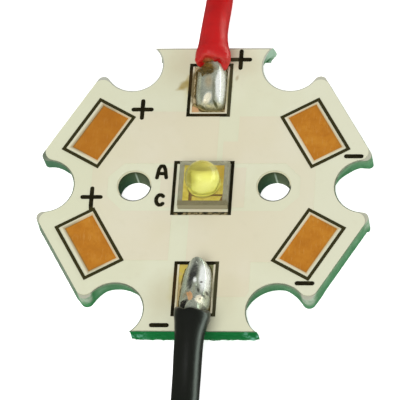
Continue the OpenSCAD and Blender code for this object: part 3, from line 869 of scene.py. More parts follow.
def build_laminate():
    out = star_outline()
    n = len(out)
    xy = np.array([(p[0], p[1]) for p in out])
    d = np.roll(xy, -1, 0) - np.roll(xy, 1, 0)
    d /= np.linalg.norm(d, axis=1)[:, None]
    nrm = np.stack([d[:, 1], -d[:, 0]], 1)
    # scored edges keep their own straight normal at the corners
    for i, p in enumerate(out):
        if p[2] == "s":
            nrm[i] = (0, 1 if p[1] > 0 else -1)
    back = np.array(nrm)
    for i, p in enumerate(out):
        near = min(math.hypot(p[0] - cx, p[1] - cy) for cx, cy in CUT_BACK)
        if p[2] == "r" and near < 1.9:
            w = smoothstep((1.9 - near) / 1.0)
            v = (1 - w) * nrm[i] + w * np.array((0.22 if p[0] > 0 and p[1] < 0 else 0.0, -0.97))
            back[i] = v / np.linalg.norm(v)
    levels = [1.45, 1.435, 1.40, 1.33, 1.24, 1.15, 1.06, 0.97, 0.88, 0.79, 0.70, 0.62, 0.55, 0.46, 0.34, 0.2, 0.05]
    verts, faces = [], []
    for z in levels:
        for i in range(n):
            x, y, tag, lean = out[i]
            q = (x, y, z)
            if tag == "s":
                end = smoothstep((3.86 - abs(x)) / 0.25)
                prof = float(interp(z, [0.05, 0.44, 0.56, 0.66, 1.12, 1.45], [-0.24, 0.02, 0.11, 0.12, 0.07, 0.0]))
                web = bump1(z, 0.80, 0.42)
                ragged = 0.05 * fractal((x * 1.0, y, z), 2.6, 3.0, 4) + 0.025 * fractal(q, 9.0, 8.0, 2)
                off = min(prof, 0.0) + end * (max(prof, 0.0) + web * ragged) + 0.004 * nz(q, 6, 2)
                if z >= 1.44:
                    off = 0.0
                cut = 0.0
            else:
                # cutter marks run straight up the wall
                off = 0.006 * nz((x, y, 0), 3.2, 5.0) + 0.004 * nz((x, y, 0), 9.0, 1.0) + 0.004 * fractal(q, 7.0, 6.0, 2)
                off -= (0.012 + 0.015 * smoothstep((z - 1.42) / 0.03)) * (1.0 - 0.7 * smoothstep((y - 2.8) / 0.6))
                cut = lean * 0.34 * (1.45 - z) / 1.4
            zz = z
            if tag == "s" and 0.4 < z < 0.75:
                zz = z + 0.07 * fractal((x, y, 0), 3.3, 6.0, 3)
            px, py = x + nrm[i, 0] * off - back[i, 0] * cut, y + nrm[i, 1] * off - back[i, 1] * cut
            if abs(x) < 4.4 and abs(y) > 9.0:
                # near the scored edges: the undercut runs out into the notches, and the corners are broken
                w = smoothstep((abs(x) - 3.45) / 0.4) if tag == "s" else smoothstep((abs(y) - 9.15) / 0.6)
                px += (1.0 if x > 0 else -1.0) * w * corner_shift(x, y, z)
                lim = SCORE + float(interp(z, [0.05, 0.44], [-0.24, 0.0])) if z < 0.44 else 99.0
                py = math.copysign(min(abs(py), lim), py)
            verts.append((px, py, zz))
    for r in range(len(levels) - 1):
        for i in range(n):
            k = (i + 1) % n
            faces.append((r * n + i, r * n + k, (r + 1) * n + k, (r + 1) * n + i))
    loops = {"top": [list(range(n))], "bottom": [list(range((len(levels) - 1) * n, len(levels) * n))]}
    # drilled holes and via barrels
    bores = [(-4.34, ROUT_Y, 1.0, 96), (4.34, ROUT_Y, 1.0, 96)]
    bores += [(PX + x, PY + y, 0.15, 16) for x in (-0.9, -0.3, 0.3, 0.9) for y in (-0.25, 0.25)]
    for cx, cy, r, m in bores:
        base = len(verts)
        zs = [1.45, 1.42, 1.30, 1.1, 0.9, 0.7, 0.5, 0.3, 0.15, 0.05] if r > 0.5 else [1.45, 0.05]
        for z in zs:
            for j in range(m):
                a = 2 * math.pi * j / m
                q = (cx + math.cos(a) * r, cy + math.sin(a) * r, z)
                rr = r + (0.008 * nz(q, 5.0, 9.0) + 0.004 * nz(q, 14.0, 2.0) if 0.06 < z < 1.44 and r > 0.5 else 0.0)
                if r > 0.5 and 0.06 < z < 1.44:
                    # a thin rib stands out of the wall, under the painted glint line
                    rr -= 0.018 * ang_bump(math.degrees(a), 91 + (0.75 - z) * 3.0, 2.4)
                verts.append((cx + math.cos(a) * rr, cy + math.sin(a) * rr, z))
        for k in range(len(zs) - 1):
            for j in range(m):
                j2 = (j + 1) % m
                faces.append((base + k * m + j2, base + k * m + j, base + (k + 1) * m + j, base + (k + 1) * m + j2))
        loops["top"].append([base + j for j in range(m)])
        loops["bottom"].append([base + (len(zs) - 1) * m + j for j in range(m)])
    for side in ("top", "bottom"):
        flat = [i for lp in loops[side] for i in lp]
        tris = tessellate_polygon([[Vector((verts[i][0], verts[i][1], 0)) for i in lp] for lp in loops[side]])
        for tri in tris:
            f = tuple(flat[i] for i in tri)
            faces.append(f if side == "top" else f[::-1])
    ob = make_mesh("laminate_star", verts, faces)
    smooth_by_angle(ob, 40)
    return ob


def mat_laminate():
    k = Shade("laminate")
    x, y, z = k.xyz()
    nx, ny, nzz = k.normal()
    n1 = k.noise(1.4, 4, 0.6)
    n2 = k.noise(6.0, 3, 0.6, stretch=(0.5, 0.5, 3.0), seed=4.0)
    fib = k.noise(9.0, 3, 0.6, stretch=(0.25, 0.25, 4.0), seed=8.0)
    wall = k.ramp(n1, [(0.25, srgb(68, 118, 78)), (0.55, srgb(86, 134, 96)), (0.8, srgb(108, 150, 114))])
    # the upper part of a wall is greyer, the lower part a deeper green
    wall = k.mix(k.mul(k.step(z, 1.0, 1.45), 0.6), wall, srgb(110, 134, 104))
    wall = k.mix(k.mul(k.step(z, 0.9, 0.2), 0.6), wall, srgb(54, 118, 74))
    wall = k.mix(k.mul(k.step(fib, 0.58, 0.78), 0.25), wall, srgb(140, 172, 146))
    # the notch at the front left is a deeper green, the right side of it olive
    deep_green_notch = k.blob(-6.6, -8.3, 1.5, 1.6, 0.5, 0.2, 0.8, 3.0)
    wall = k.mix(k.mul(deep_green_notch, 0.75), wall, srgb(36, 118, 60))
    wall = k.mix(k.mul(k.blob(-3.6, -8.0, 0.9, 1.4, 0.5, 0.2, 0.8, 3.0), 0.7), wall, srgb(92, 100, 78))
    # the wall under the upper left arm lies in its shade
    wall = k.mix(k.mul(k.blob(-9.4, 1.6, 1.6, 1.1, 0.6, 0.2, 0.8, 5.0), 0.7), wall, srgb(66, 104, 78))
    wall = k.mix(k.mul(k.blob(-3.9, 8.6, 0.9, 1.9, 0.75, 0.2, 0.8, 5.0), 0.95), wall, srgb(132, 136, 124))
    wall = k.mix(k.mul(k.blob(4.0, 9.2, 0.9, 1.3, 0.7, 0.2, 0.8, 5.0), 0.95), wall, srgb(160, 188, 166))
    # the outer wall of the front left arm is dusty
    dusty = k.mul(k.mul(k.step(x, -6.8, -7.2), k.step(y, -2.2, -2.8)), k.step(y, -7.4, -6.6))
    wall = k.mix(k.mul(dusty, 0.7), wall, srgb(124, 132, 116))
    # scored and broken edges: saturated green with pale fibre ends
    green = k.ramp(n2, [(0.2, srgb(4, 92, 40)), (0.55, srgb(8, 104, 48)), (0.85, srgb(26, 126, 66))])
    ends = k.step(k.math("ABSOLUTE", x), 2.4, 3.9)
    green = k.mix(k.mul(ends, k.step(k.noise(2.2, 4, 0.6, seed=12.0), 0.48, 0.68)), green, srgb(104, 166, 142))
    low = k.step(z, 0.74, 0.48)
    green = k.mix(k.mul(low, k.step(k.noise(4.5, 3, 0.6, seed=2.0), 0.44, 0.64)), green, srgb(176, 204, 186))
    scored = k.mul(k.step(k.math("ABSOLUTE", y), 9.74, 9.86), k.step(k.math("ABSOLUTE", x), 4.1, 3.95))
    scored = k.mul(scored, k.step(y, 0.1, -0.1))
    col = k.mix(scored, wall, green)
    # rounded corners of the routed arms are rubbed pale
    ax, ay = k.math("ABSOLUTE", x), k.math("ABSOLUTE", k.sub(y, ROUT_Y))
    lx = k.add(k.mul(ax, math.cos(math.pi / 6)), k.mul(ay, 0.5))
    ly = k.math("ABSOLUTE", k.sub(k.mul(ay, math.cos(math.pi / 6)), k.mul(ax, 0.5)))
    corner = k.mul(k.step(ly, 2.5, 3.0), k.step(lx, 9.2, 9.45))
    rub = k.mul(corner, k.step(k.noise(2.0, 3, 0.6, seed=21.0), 0.20, 0.60))
    rub = k.mul(rub, k.step(y, 1.0, -1.0))
    col = k.mix(k.mul(k.mul(rub, k.step(z, 0.2, 1.2)), 0.8), col, srgb(172, 184, 164))
    col = k.mix(k.mul(k.mul(corner, k.step(z, 0.25, 0.05)), 0.6), col, srgb(70, 104, 80))
    # holes: painted shade darkens the drilled walls, most on the left and low down on the left; olive towards the top
    hx = k.sub(k.math("ABSOLUTE", x), 4.34)
    hy = k.sub(y, ROUT_Y)
    hd = k.math("SQRT", k.add(k.mul(hx, hx), k.mul(hy, hy)))
    hole = k.step(hd, 1.25, 1.1)
    hxs = k.mul(hx, k.math("SIGN", x))
    inside = k.mix(k.step(hxs, -0.7, 0.5), srgb(58, 90, 58), srgb(92, 104, 78))
    inside = k.mix(k.mul(k.step(n2, 0.45, 0.75), 0.4), inside, srgb(80, 112, 84))
    inside = k.mix(k.mul(k.step(z, 1.0, 1.45), 0.7), inside, srgb(72, 76, 42))
    inside = k.mix(k.mul(k.mul(k.step(z, 0.8, 0.1), k.step(hxs, 0.3, -0.6)), 0.7), inside, srgb(40, 78, 58))
    col = k.mix(hole, col, inside)
    # painted glint: a pale highlight line down the far wall of each hole
    hole_glint = k.mul(hole, k.mul(k.step(k.math("ABSOLUTE", k.sub(hxs, k.mul(k.sub(1.1, z), 0.05))), 0.09, 0.0), k.step(hy, 0.6, 0.8)))
    col = k.mix(k.mul(k.mul(hole_glint, k.step(z, 1.5, 0.9)), 0.8), col, srgb(186, 204, 184))
    # bare rim on the top, beyond the mask
    top = k.step(nzz, 0.75, 0.95)
    rim = k.mix(k.step(n1, 0.4, 0.65), srgb(108, 118, 100), srgb(128, 136, 118))
    rim = k.mix(k.mul(k.step(y, 2.6, 4.0), 0.9), rim, srgb(186, 188, 176))
    pale = k.mul(corner, k.math("MAXIMUM", k.step(y, 1.0, 0.0), k.step(x, -0.5, 0.5)))
    rim = k.mix(k.mul(pale, 0.85), rim, srgb(184, 184, 166))
    # painted shade on the near side of the bare rim round each hole; the far side is cream
    rim = k.mix(k.step(hd, 1.3, 1.2), rim, k.mix(k.step(k.sub(hy, k.mul(hxs, 0.35)), -0.45, -0.15), srgb(62, 68, 56), srgb(206, 203, 174)))
    col = k.mix(top, col, rim)
    h = k.add(k.mul(n2, 0.6), k.mul(fib, 0.4))
    return k.finish(Base_Color=col, Roughness=k.lin(n1, 0.3, 0.7, 0.55, 0.72), Specular_IOR_Level=0.08,
                    Normal=k.bump(h, 0.35, 0.03))


settle(build_laminate(), mat_laminate(), "laminate", "board_core")


# ---------------------------------------------------------------- carried-over nodes
def dress(node, mat):
    o = NODES[node]
    o.data.materials.clear()
    o.data.materials.append(mat)
    for p in o.data.polygons:
        p.material_index = 0


def pad_place(k, x, y):
    """Place seen from the nearest slanted pad: outward, and sideways without sign."""
    u = k.math("ABSOLUTE", k.sub(x, PX))
    v = k.math("ABSOLUTE", k.sub(y, PY))
    u = k.add(u, k.mul(k.step(x, 0.1, -0.1), 0.09))
    along = k.sub(k.add(k.mul(u, math.cos(math.pi / 6)), k.mul(v, 0.5)), 7.82)
    across = k.math("ABSOLUTE", k.sub(k.mul(v, math.cos(math.pi / 6)), k.mul(u, 0.5)))
    return along, across


def mat_mask():
    k = Shade("white_mask")
    x, y, z = k.xyz()
    cu = k.step(z, 1.5305, 1.5345)
    n1 = k.noise(0.28, 3, 0.5)
    n2 = k.noise(1.3, 4, 0.55, seed=3.0)
    n3 = k.noise(16.0, 2, 0.5, seed=6.0)
    g = MASK_GAIN
    bare = k.mix(k.step(n1, 0.35, 0.65), srgb(222, 223, 196, g), srgb(219, 219, 190, g))
    over = k.mix(k.step(n1, 0.35, 0.65), srgb(223, 217, 192, g), srgb(221, 214, 186, g))
    col = k.mix(cu, bare, over)
    # painted light: a little cooler to the right and a little browner at the left; browner by the joints
    col = k.mix(k.mul(k.step(x, 2.0, 9.0), 0.55), col, srgb(223, 223, 199, g))
    col = k.mix(k.mul(k.step(x, -3.0, -9.0), 0.35), col, srgb(217, 219, 188, g))
    stain = srgb(202, 194, 160, g)
    col = k.mix(k.mul(k.blob(-1.9, 8.6, 1.7, 2.2, 0.1, 0.5, 0.9), 0.45), col, stain)
    col = k.mix(k.mul(k.blob(2.1, 8.8, 1.4, 1.3, 0.1, 0.5, 0.9, 2.0), 0.30), col, stain)
    col = k.mix(k.mul(k.blob(-2.0, -7.7, 1.6, 2.3, 0.1, 0.5, 0.9, 4.0), 0.50), col, stain)
    col = k.mix(k.mul(k.blob(1.9, -7.5, 1.2, 2.2, 0.1, 0.5, 0.9, 5.0), 0.25), col, stain)
    # yellow halo hugging the printed frames of the two joints
    halo = srgb(200, 186, 122, g)
    for cy, sx, seed in ((6.93, 0.30, 7.0), (-7.03, 0.45, 9.0)):
        col = k.mix(k.mul(k.blob(-1.25, cy, 0.62, 1.9, 0.2, 0.7, 1.6, seed), sx), col, halo)
    # brown flux run beside the rear joint
    run = k.blob(-1.68, 7.26, 0.58, 0.42, 0.30, 0.5, 2.4, 13.0, 0.65)
    run5 = k.blob(1.60, 7.78, 0.15, 0.32, 0.2, 0.7, 3.0, 25.0, -0.2)
    col = k.mix(k.mul(run5, 0.5), col, srgb(150, 130, 82, g))
    run2 = k.blob(-1.95, 7.02, 0.44, 0.17, 0.2, 0.5, 2.4, 15.0, 0.40)
    run3 = k.blob(-1.50, 7.66, 0.20, 0.52, 0.2, 0.5, 2.4, 17.0, -0.25)
    run4 = k.blob(-1.42, 7.0, 0.16, 0.55, 0.2, 0.5, 2.4, 19.0, 0.0)
    col = k.mix(k.mul(run2, 0.55), col, srgb(172, 152, 88, g))
    col = k.mix(k.mul(run3, 0.60), col, srgb(174, 154, 90, g))
    col = k.mix(k.mul(run4, 0.55), col, srgb(174, 156, 96, g))
    col = k.mix(k.mul(run, 0.80), col, srgb(162, 140, 68, g))
    # inside the lead frames the mask is smeared with flux
    col = k.mix(k.mul(k.blob(-0.06, 8.55, 1.2, 0.35, 0.3, 0.8, 2.0, 19.0), 0.5), col, srgb(150, 136, 84, g))
    smear = k.mul(k.blob(-1.14, 7.15, 0.24, 1.50, 0.45, 1.0, 2.2, 33.0), 0.92)
    col = k.mix(smear, col, srgb(116, 100, 62, g))
    col = k.mix(k.mul(k.blob(1.17, 6.9, 0.22, 1.75, 0.55, 0.7, 1.6, 27.0), 0.75), col, srgb(162, 156, 104, g))
    col = k.mix(k.mul(k.blob(1.17, -7.2, 0.20, 1.6, 0.5, 0.7, 1.6, 29.0), 0.80), col, srgb(118, 120, 86, g))
    # the mask thins out towards the slanted pads, so the copper tints it along their inner edges; along their outer
    # edges it carries painted shade, darker at the left-hand pads
    along, across = pad_place(k, x, y)
    out = k.math("MAXIMUM", k.sub(k.math("ABSOLUTE", along), 0.96), k.sub(across, 1.745))
    outer = k.mix(k.step(x, 0.1, -0.1), srgb(192, 166, 114, g), srgb(160, 140, 96, g))
    tint = k.mix(k.step(along, -0.3, 0.3), srgb(204, 176, 130, g), outer)
    col = k.mix(k.mul(k.step(out, 0.18, 0.01), 0.75), col, tint)
    # painted shade: the near lip of each hole is rounded off and drawn dark
    hx = k.sub(k.math("ABSOLUTE", x), 4.34)
    hy = k.sub(y, ROUT_Y)
    hd = k.math("SQRT", k.add(k.mul(hx, hx), k.mul(hy, hy)))
    lip = k.mul(k.step(hd, 1.125, 1.085), k.step(k.sub(hy, k.mul(k.mul(hx, k.math("SIGN", x)), 0.35)), -0.30, -0.65))
    # painted shade: a grey line along the rear edge
    col = k.mix(k.mul(k.step(y, 9.86, 9.90), 0.75), col, srgb(140, 142, 128, g))
    col = k.mix(k.mul(lip, 0.85), col, srgb(98, 104, 90, g))
    # scattered small specks
    speck = k.step(k.cells(0.55, seed=5.0), 0.075, 0.045)
    speck = k.mul(speck, k.step(k.noise(0.4, 2, 0.5, seed=31.0), 0.60, 0.70))
    col = k.mix(k.mul(speck, 0.35), col, srgb(150, 140, 110, g))
    col = k.mix(k.mul(k.step(n2, 0.55, 0.75), 0.14), col, srgb(206, 200, 172, g))
    h = k.add(k.mul(n2, 0.5), k.mul(n3, 0.5))
    return k.finish(Base_Color=col, Roughness=k.lin(n2, 0.3, 0.7, 0.42, 0.54), Specular_IOR_Level=0.25,
                    Normal=k.bump(h, 0.10, 0.02))


def mat_legend():
    k = Shade("black_legend")
    n1 = k.noise(2.5, 4, 0.6)
    n2 = k.noise(14.0, 3, 0.6, seed=4.0)
    col = k.mix(k.step(n1, 0.35, 0.7), (0.0095, 0.0085, 0.0030), (0.022, 0.019, 0.007))
    # flux has browned the frames of the two joints
    b = k.math("MAXIMUM", k.blob(-1.35, 7.6, 0.5, 1.2, 0.3, 0.5, 1.5), k.blob(-0.1, 5.1, 1.2, 0.25, 0.3, 0.5, 2.0, 2.0))
    b = k.math("MAXIMUM", b, k.blob(-1.35, -6.9, 0.4, 1.6, 0.3, 0.5, 1.5, 3.0))
    b = k.math("MAXIMUM", b, k.blob(1.28, 8.0, 0.4, 0.9, 0.3, 0.5, 1.5, 6.0))
    col = k.mix(k.mul(b, 0.8), col, (0.045, 0.026, 0.007))
    col = k.mix(k.mul(k.step(n2, 0.64, 0.8), 0.25), col, (0.10, 0.09, 0.05))
    # the front line of the LED's frame is unevenly printed
    x, y, z = k.xyz()
    worn = k.mul(k.mul(k.step(y, -1.78, -1.84), k.step(y, -2.2, -2.0)), k.step(k.math("ABSOLUTE", k.sub(x, PX)), 1.75, 1.5))
    worn = k.mul(worn, k.step(k.noise(3.4, 3, 0.6, seed=9.0), 0.45, 0.60))
    col = k.mix(k.mul(worn, 0.55), col, srgb(176, 160, 116))
    along, across = pad_place(k, x, y)
    pale = k.step(k.math("MAXIMUM", k.sub(k.math("ABSOLUTE", along), 1.50), k.sub(across, 2.22)), 0.08, 0.02)
    col = k.mix(k.mul(pale, 0.75), col, srgb(58, 55, 28))
    thin = k.mul(k.mul(k.step(x, 1.0, 1.15), k.step(x, 1.65, 1.55)), k.step(k.math("ABSOLUTE", y), 4.9, 5.1))
    col = k.mix(k.mul(thin, 0.75), col, srgb(70, 68, 46))
    return k.finish(Base_Color=col, Roughness=k.lin(n2, 0.3, 0.7, 0.6, 0.8), Specular_IOR_Level=0.08,
                    Normal=k.bump(n2, 0.3, 0.01))


def mat_copper():
    k = Shade("bare_copper")
    x, y, z = k.xyz()
    n1 = k.noise(1.1, 4, 0.6)
    n2 = k.noise(4.5, 4, 0.65, seed=3.0)
    n3 = k.noise(8.0, 3, 0.6, stretch=(1.0, 0.18, 1.0), seed=6.0)
    col = k.ramp(n1, [(0.30, (0.455, 0.164, 0.0132)), (0.52, (0.515, 0.194, 0.0162)), (0.72, (0.575, 0.24, 0.025))])
    col = k.mix(k.mul(k.step(n2, 0.52, 0.72), 0.38), col, (0.41, 0.133, 0.008))
    col = k.mix(k.mul(k.step(n3, 0.52, 0.72), 0.42), col, (0.60, 0.30, 0.070))
    # the upper left pad is the darkest
    col = k.mix(k.mul(k.mul(k.step(x, -4.5, -6.0), k.step(y, 1.0, 2.5)), 0.5), col, (0.41, 0.142, 0.012))
    # painted shade along their outer edges, stronger on the left-hand pads
    along, across = pad_place(k, x, y)
    rim = k.math("MAXIMUM", k.sub(k.math("ABSOLUTE", along), 0.96), k.sub(across, 1.745))
    rim = k.mul(k.step(rim, -0.14, -0.01), k.step(along, -0.6, 0.5))
    col = k.mix(k.mul(rim, k.lin(x, -0.1, 0.1, 0.7, 0.25)), col, srgb(146, 112, 56))
    # the two lead pads are tinned and stained round the solder
    mid = k.step(k.math("ABSOLUTE", x), 1.45, 1.35)
    rear = k.mul(mid, k.step(y, 5.0, 5.1))
    tin_r = k.mix(k.step(n2, 0.40, 0.58), srgb(188, 172, 134), srgb(128, 108, 66))
    tin_r = k.mix(k.mul(k.step(x, -0.6, -0.75), k.step(y, 5.85, 5.65)), tin_r, srgb(208, 164, 118))
    col = k.mix(rear, col, tin_r)
    front = k.mul(mid, k.step(y, -5.0, -5.1))
    tin_f = k.mix(k.step(y, -6.9, -6.3), srgb(178, 160, 110), srgb(204, 184, 84))
    tin_f = k.mix(k.mul(k.step(n2, 0.50, 0.66), 0.6), tin_f, srgb(206, 180, 136))
    tin_f = k.mix(k.step(x, 0.4, 0.7), tin_f, srgb(140, 142, 98))
    col = k.mix(front, col, tin_f)
    h = k.add(k.mul(n2, 0.5), k.mul(n3, 0.5))
    return k.finish(Base_Color=col, Metallic=0.1, Roughness=k.lin(n2, 0.3, 0.7, 0.45, 0.6), Specular_IOR_Level=0.2,
                    Normal=k.bump(h, 0.2, 0.02))


def mat_rear():
    k = Shade("tinned_copper")
    n1 = k.noise(0.5, 4, 0.6)
    n2 = k.noise(5.0, 3, 0.6, seed=2.0)
    col = k.mix(k.step(n1, 0.35, 0.7), (0.66, 0.66, 0.63), (0.52, 0.51, 0.47))
    return k.finish(Base_Color=col, Metallic=1.0, Roughness=k.lin(n2, 0.3, 0.7, 0.22, 0.40),
                    Normal=k.bump(k.add(n1, k.mul(n2, 0.4)), 0.3, 0.05))


def mat_ceramic():
    k = Shade("grey_ceramic")
    x, y, z = k.xyz()
    n1 = k.noise(3.0, 4, 0.6)
    n2 = k.noise(22.0, 2, 0.6, seed=2.0)
    col = k.mix(k.step(n1, 0.35, 0.7), srgb(154, 153, 132), srgb(142, 140, 116))
    col = k.mix(k.mul(k.step(n2, 0.58, 0.8), 0.25), col, srgb(164, 162, 142))
    nx, ny, nzz = k.normal()
    # painted shade along the front strip of the top
    col = k.mix(k.mul(k.step(y, -1.15, -1.35), 0.85), col, srgb(119, 112, 83))
    col = k.mix(k.mul(k.step(ny, -0.5, -0.8), 0.9), col, srgb(164, 158, 128))
    # brown between the gold areas, where the ceramic shows; under the dome painted shade makes it darker
    u = k.math("ABSOLUTE", k.sub(x, PX + LED_X))
    v = k.math("ABSOLUTE", k.sub(y, PY))
    gap = k.mul(k.mul(k.step(u, 1.26, 1.22), k.step(v, 1.26, 1.22)), k.step(z, 2.03, 2.045))
    lens = k.step(k.add(k.mul(u, u), k.mul(v, v)), 1.05, 0.85)
    col = k.mix(k.mul(gap, 0.9), col, k.mix(lens, srgb(112, 78, 30), srgb(150, 136, 54)))
    saw = k.noise(18.0, 2, 0.5, stretch=(0.15, 0.15, 2.0), seed=5.0)
    return k.finish(Base_Color=col, Roughness=k.lin(n1, 0.3, 0.7, 0.6, 0.75), Specular_IOR_Level=0.2,
                    Normal=k.bump(k.add(n2, saw), 0.25, 0.01))


def mat_gold(name, seed):
    k = Shade(name)
    x, y, z = k.xyz()
    n1 = k.noise(4.0, 4, 0.6, seed=seed)
    n2 = k.noise(20.0, 3, 0.6, seed=seed + 2)
    col = k.ramp(n1, [(0.3, (0.58, 0.46, 0.065)), (0.55, (0.68, 0.56, 0.095)), (0.8, (0.78, 0.66, 0.17))])
    # warmer at the rear right; under the dome painted shade turns it olive at the rear, and a painted image of the
    # yellow phosphor, as refracted by the dome, turns it bright yellow at the front
    u, v = k.sub(x, PX + LED_X), k.sub(y, PY)
    warm = k.mul(k.step(u, 0.5, 1.1), k.step(v, -0.4, 0.6))
    col = k.mix(k.mul(warm, 0.7), col, (0.58, 0.36, 0.05))
    rad = k.math("SQRT", k.add(k.mul(u, u), k.mul(v, v)))
    under = k.mul(k.step(rad, 1.10, 1.00), k.step(z, 2.0, 2.04))
    shade = k.mix(k.step(v, 0.35, -0.10), (0.46, 0.42, 0.085), (0.74, 0.73, 0.15))
    col = k.mix(k.mul(under, 0.9), col, shade)
    # painted shade: a darker ring at the front, round the foot of the dome
    foot = k.mul(k.mul(k.step(rad, 0.86, 0.98), k.step(rad, 1.14, 1.06)), k.step(v, -0.2, -0.6))
    col = k.mix(k.mul(foot, 0.75), col, (0.36, 0.29, 0.055))
    return k.finish(Base_Color=col, Metallic=0.25, Roughness=k.lin(n2, 0.3, 0.7, 0.30, 0.46),
                    Normal=k.bump(n2, 0.2, 0.008))


def mat_chip():
    k = Shade("semiconductor")
    n1 = k.noise(6.0, 3, 0.6)
    # the sides carry a thin yellow film
    col = k.mix(k.step(n1, 0.35, 0.7), (0.44, 0.42, 0.08), (0.50, 0.48, 0.10))
    return k.finish(Base_Color=col, Roughness=k.lin(n1, 0.3, 0.7, 0.25, 0.4), Normal=k.bump(n1, 0.1, 0.005))


def mat_phosphor():
    k = Shade("yellow_phosphor")
    n1 = k.noise(5.0, 4, 0.6)
    n2 = k.noise(40.0, 2, 0.6, seed=2.0)
    col = k.mix(k.step(n1, 0.35, 0.7), (0.76, 0.755, 0.165), (0.70, 0.695, 0.135))
    col = k.mix(k.mul(k.blob(PX + LED_X + 0.05, PY - 0.1, 0.5, 0.5, 0.1, 0.3, 2.0), 0.6), col, (0.82, 0.815, 0.26))
    col = k.mix(k.mul(k.step(n2, 0.5, 0.8), 0.3), col, (0.86, 0.855, 0.28))
    # darker towards its rear and left edges
    x, y, z = k.xyz()
    u, v = k.sub(x, PX + LED_X + 0.10), k.sub(y, PY - 0.02)
    col = k.mix(k.mul(k.step(v, 0.30, 0.53), 0.75), col, (0.48, 0.44, 0.085))
    col = k.mix(k.mul(k.mul(k.step(u, -0.30, -0.53), k.step(v, -0.22, 0.16)), 0.8), col, (0.42, 0.39, 0.06))
    return k.finish(Base_Color=col, Roughness=k.lin(n2, 0.3, 0.7, 0.6, 0.8), Specular_IOR_Level=0.2,
                    Normal=k.bump(n2, 0.3, 0.006))


def mat_silicone():
    k = Shade("clear_silicone")
    n = k.noise(2.0, 2, 0.5)
    return k.finish(Base_Color=(0.985, 0.985, 0.955), Roughness=k.lin(n, 0.3, 0.7, 0.15, 0.19), IOR=1.41,
                    Transmission_Weight=1.0, Specular_IOR_Level=0.5)


MASK_GAIN = 0.928
M_COPPER = mat_copper()
M_GOLD = mat_gold("gold_plate", 1.0)
dress("solder_mask", mat_mask())
dress("legend_print", mat_legend())
for nm in ("copper_plus", "copper_minus", "copper_heat_pad", "thermal_vias"):
    dress(nm, M_COPPER)
dress("rear_copper", mat_rear())
dress("led_solder_joints", M_SOLDER)
dress("led_contacts", M_GOLD)
dress("led_base", mat_ceramic())
dress("led_top_metal", M_GOLD)
M_CHIP = mat_chip()
dress("led_chip", M_CHIP)
dress("surge_diode", M_CHIP)
dress("phosphor_layer", mat_phosphor())
dress("bond_wires", M_GOLD)
for nm in ("bond_wires", "thermal_vias"):
    smooth_by_angle(NODES[nm], 40)


# ---------------------------------------------------------------- LED dome
def build_dome():
    """One closed skin: square layer, short straight skirt and round dome."""
    cx, cy, hs, r = PX + LED_X, PY, 1.51, 1.06
    z_low, z_slab, z_c = 2.045, 2.18, 2.79
    m = 128
    th = [2 * math.pi * (j + 0.5) / m for j in range(m)]
    rings = []

    def square(h, z, c=0.03):
        pts = []
        for a in th:
            x, y = math.cos(a), math.sin(a)
            q = h / max(abs(x), abs(y))
            x, y = x * q, y * q
            # corners taken off a little
            over = abs(x) + abs(y) - (2 * h - c)
            if over > 0:
                x -= math.copysign(over / 2, x)
                y -= math.copysign(over / 2, y)
            pts.append((cx + x, cy + y, z))
        return pts

    def circle(rad, z):
        return [(cx + rad * math.cos(a), cy + rad * math.sin(a), z) for a in th]

    rings.append(square(hs, z_low))
    rings.append(square(hs, z_slab))
    rings.append(circle(r + 0.10, z_slab))
    # small fillet up into the skirt
    for t in np.linspace(0, math.pi / 2, 7):
        rings.append(circle(r + 0.06 * (1 - math.sin(t)), z_slab + 0.06 * (1 - math.cos(t))))
    for z in (2.35, 2.5, 2.65):
        rings.append(circle(r, z))
    for t in np.linspace(0, math.pi / 2, 40)[:-1]:
        rings.append(circle(r * math.cos(t), z_c + r * math.sin(t)))
    ob = rings_to_mesh("led_dome", rings)
    smooth_by_angle(ob, 50)
    ob.visible_shadow = False
    return ob


settle(build_dome(), mat_silicone(), "clear_silicone", "led_lens")


# ---------------------------------------------------------------- solder joints
def mound(name, ys, table, rough, seed, nu=96, nv=150):
    """Solder mound lofted over cross sections; the foot lies on the pad."""
    y0, y1 = ys[0], ys[-1]
    order = 1 if y1 > y0 else -1
    key = [order * v for v in ys]
    rows = []
    for j in range(nv + 1):
        # finer steps towards both ends
        t = 0.5 - 0.5 * math.cos(math.pi * j / nv)
        y = y0 + (y1 - y0) * t
        g = {k: float(interp(order * y, key, v)) for k, v in table.items()}
        xs = [g["xl"], g["xa"], g["xv"], g["xb"], g["xr"]]
        for i in range(1, 5):
            xs[i] = max(xs[i], xs[i - 1] + 0.02)
        hs = [0.0, g["ha"], g["hv"], g["hb"], 0.0]
        row = []
        for i in range(nu + 1):
            u = i / nu
            x = xs[0] + (xs[4] - xs[0]) * (0.5 - 0.5 * math.cos(math.pi * u))
            h = float(interp(x, xs, hs))
            # steep round flanks instead of straight ones
            if x < xs[1]:
                f = (x - xs[0]) / (xs[1] - xs[0])
                h = hs[1] * (0.35 * (0.5 - 0.5 * math.cos(math.pi * f)) + 0.65 * math.sqrt(max(0.0, 1 - (1 - f) ** 2)))
            elif x > xs[3]:
                f = (xs[4] - x) / (xs[4] - xs[3])
                h = hs[3] * (0.35 * (0.5 - 0.5 * math.cos(math.pi * f)) + 0.65 * math.sqrt(max(0.0, 1 - (1 - f) ** 2)))
            edge = min(1.0, h / 0.3)
            q = (x, y, h)
            h = max(0.0, h + edge * rough(q))
            if i in (0, nu) or j in (0, nv):
                h = 0.0
            row.append((x, y, Z_CU + h))
        rows.append(row)
    verts = [v for r in rows for v in r]
    faces = []
    w = nu + 1
    for j in range(nv):
        for i in range(nu):
            faces.append((j * w + i, j * w + i + 1, (j + 1) * w + i + 1, (j + 1) * w + i))
    rim = ([i for i in range(w)] + [j * w + nu for j in range(1, nv + 1)]
           + [nv * w + i for i in range(nu - 1, -1, -1)] + [j * w for j in range(nv - 1, 0, -1)])
    faces.append(tuple(rim))
    ob = make_mesh(name, verts, faces)
    return ob, rows


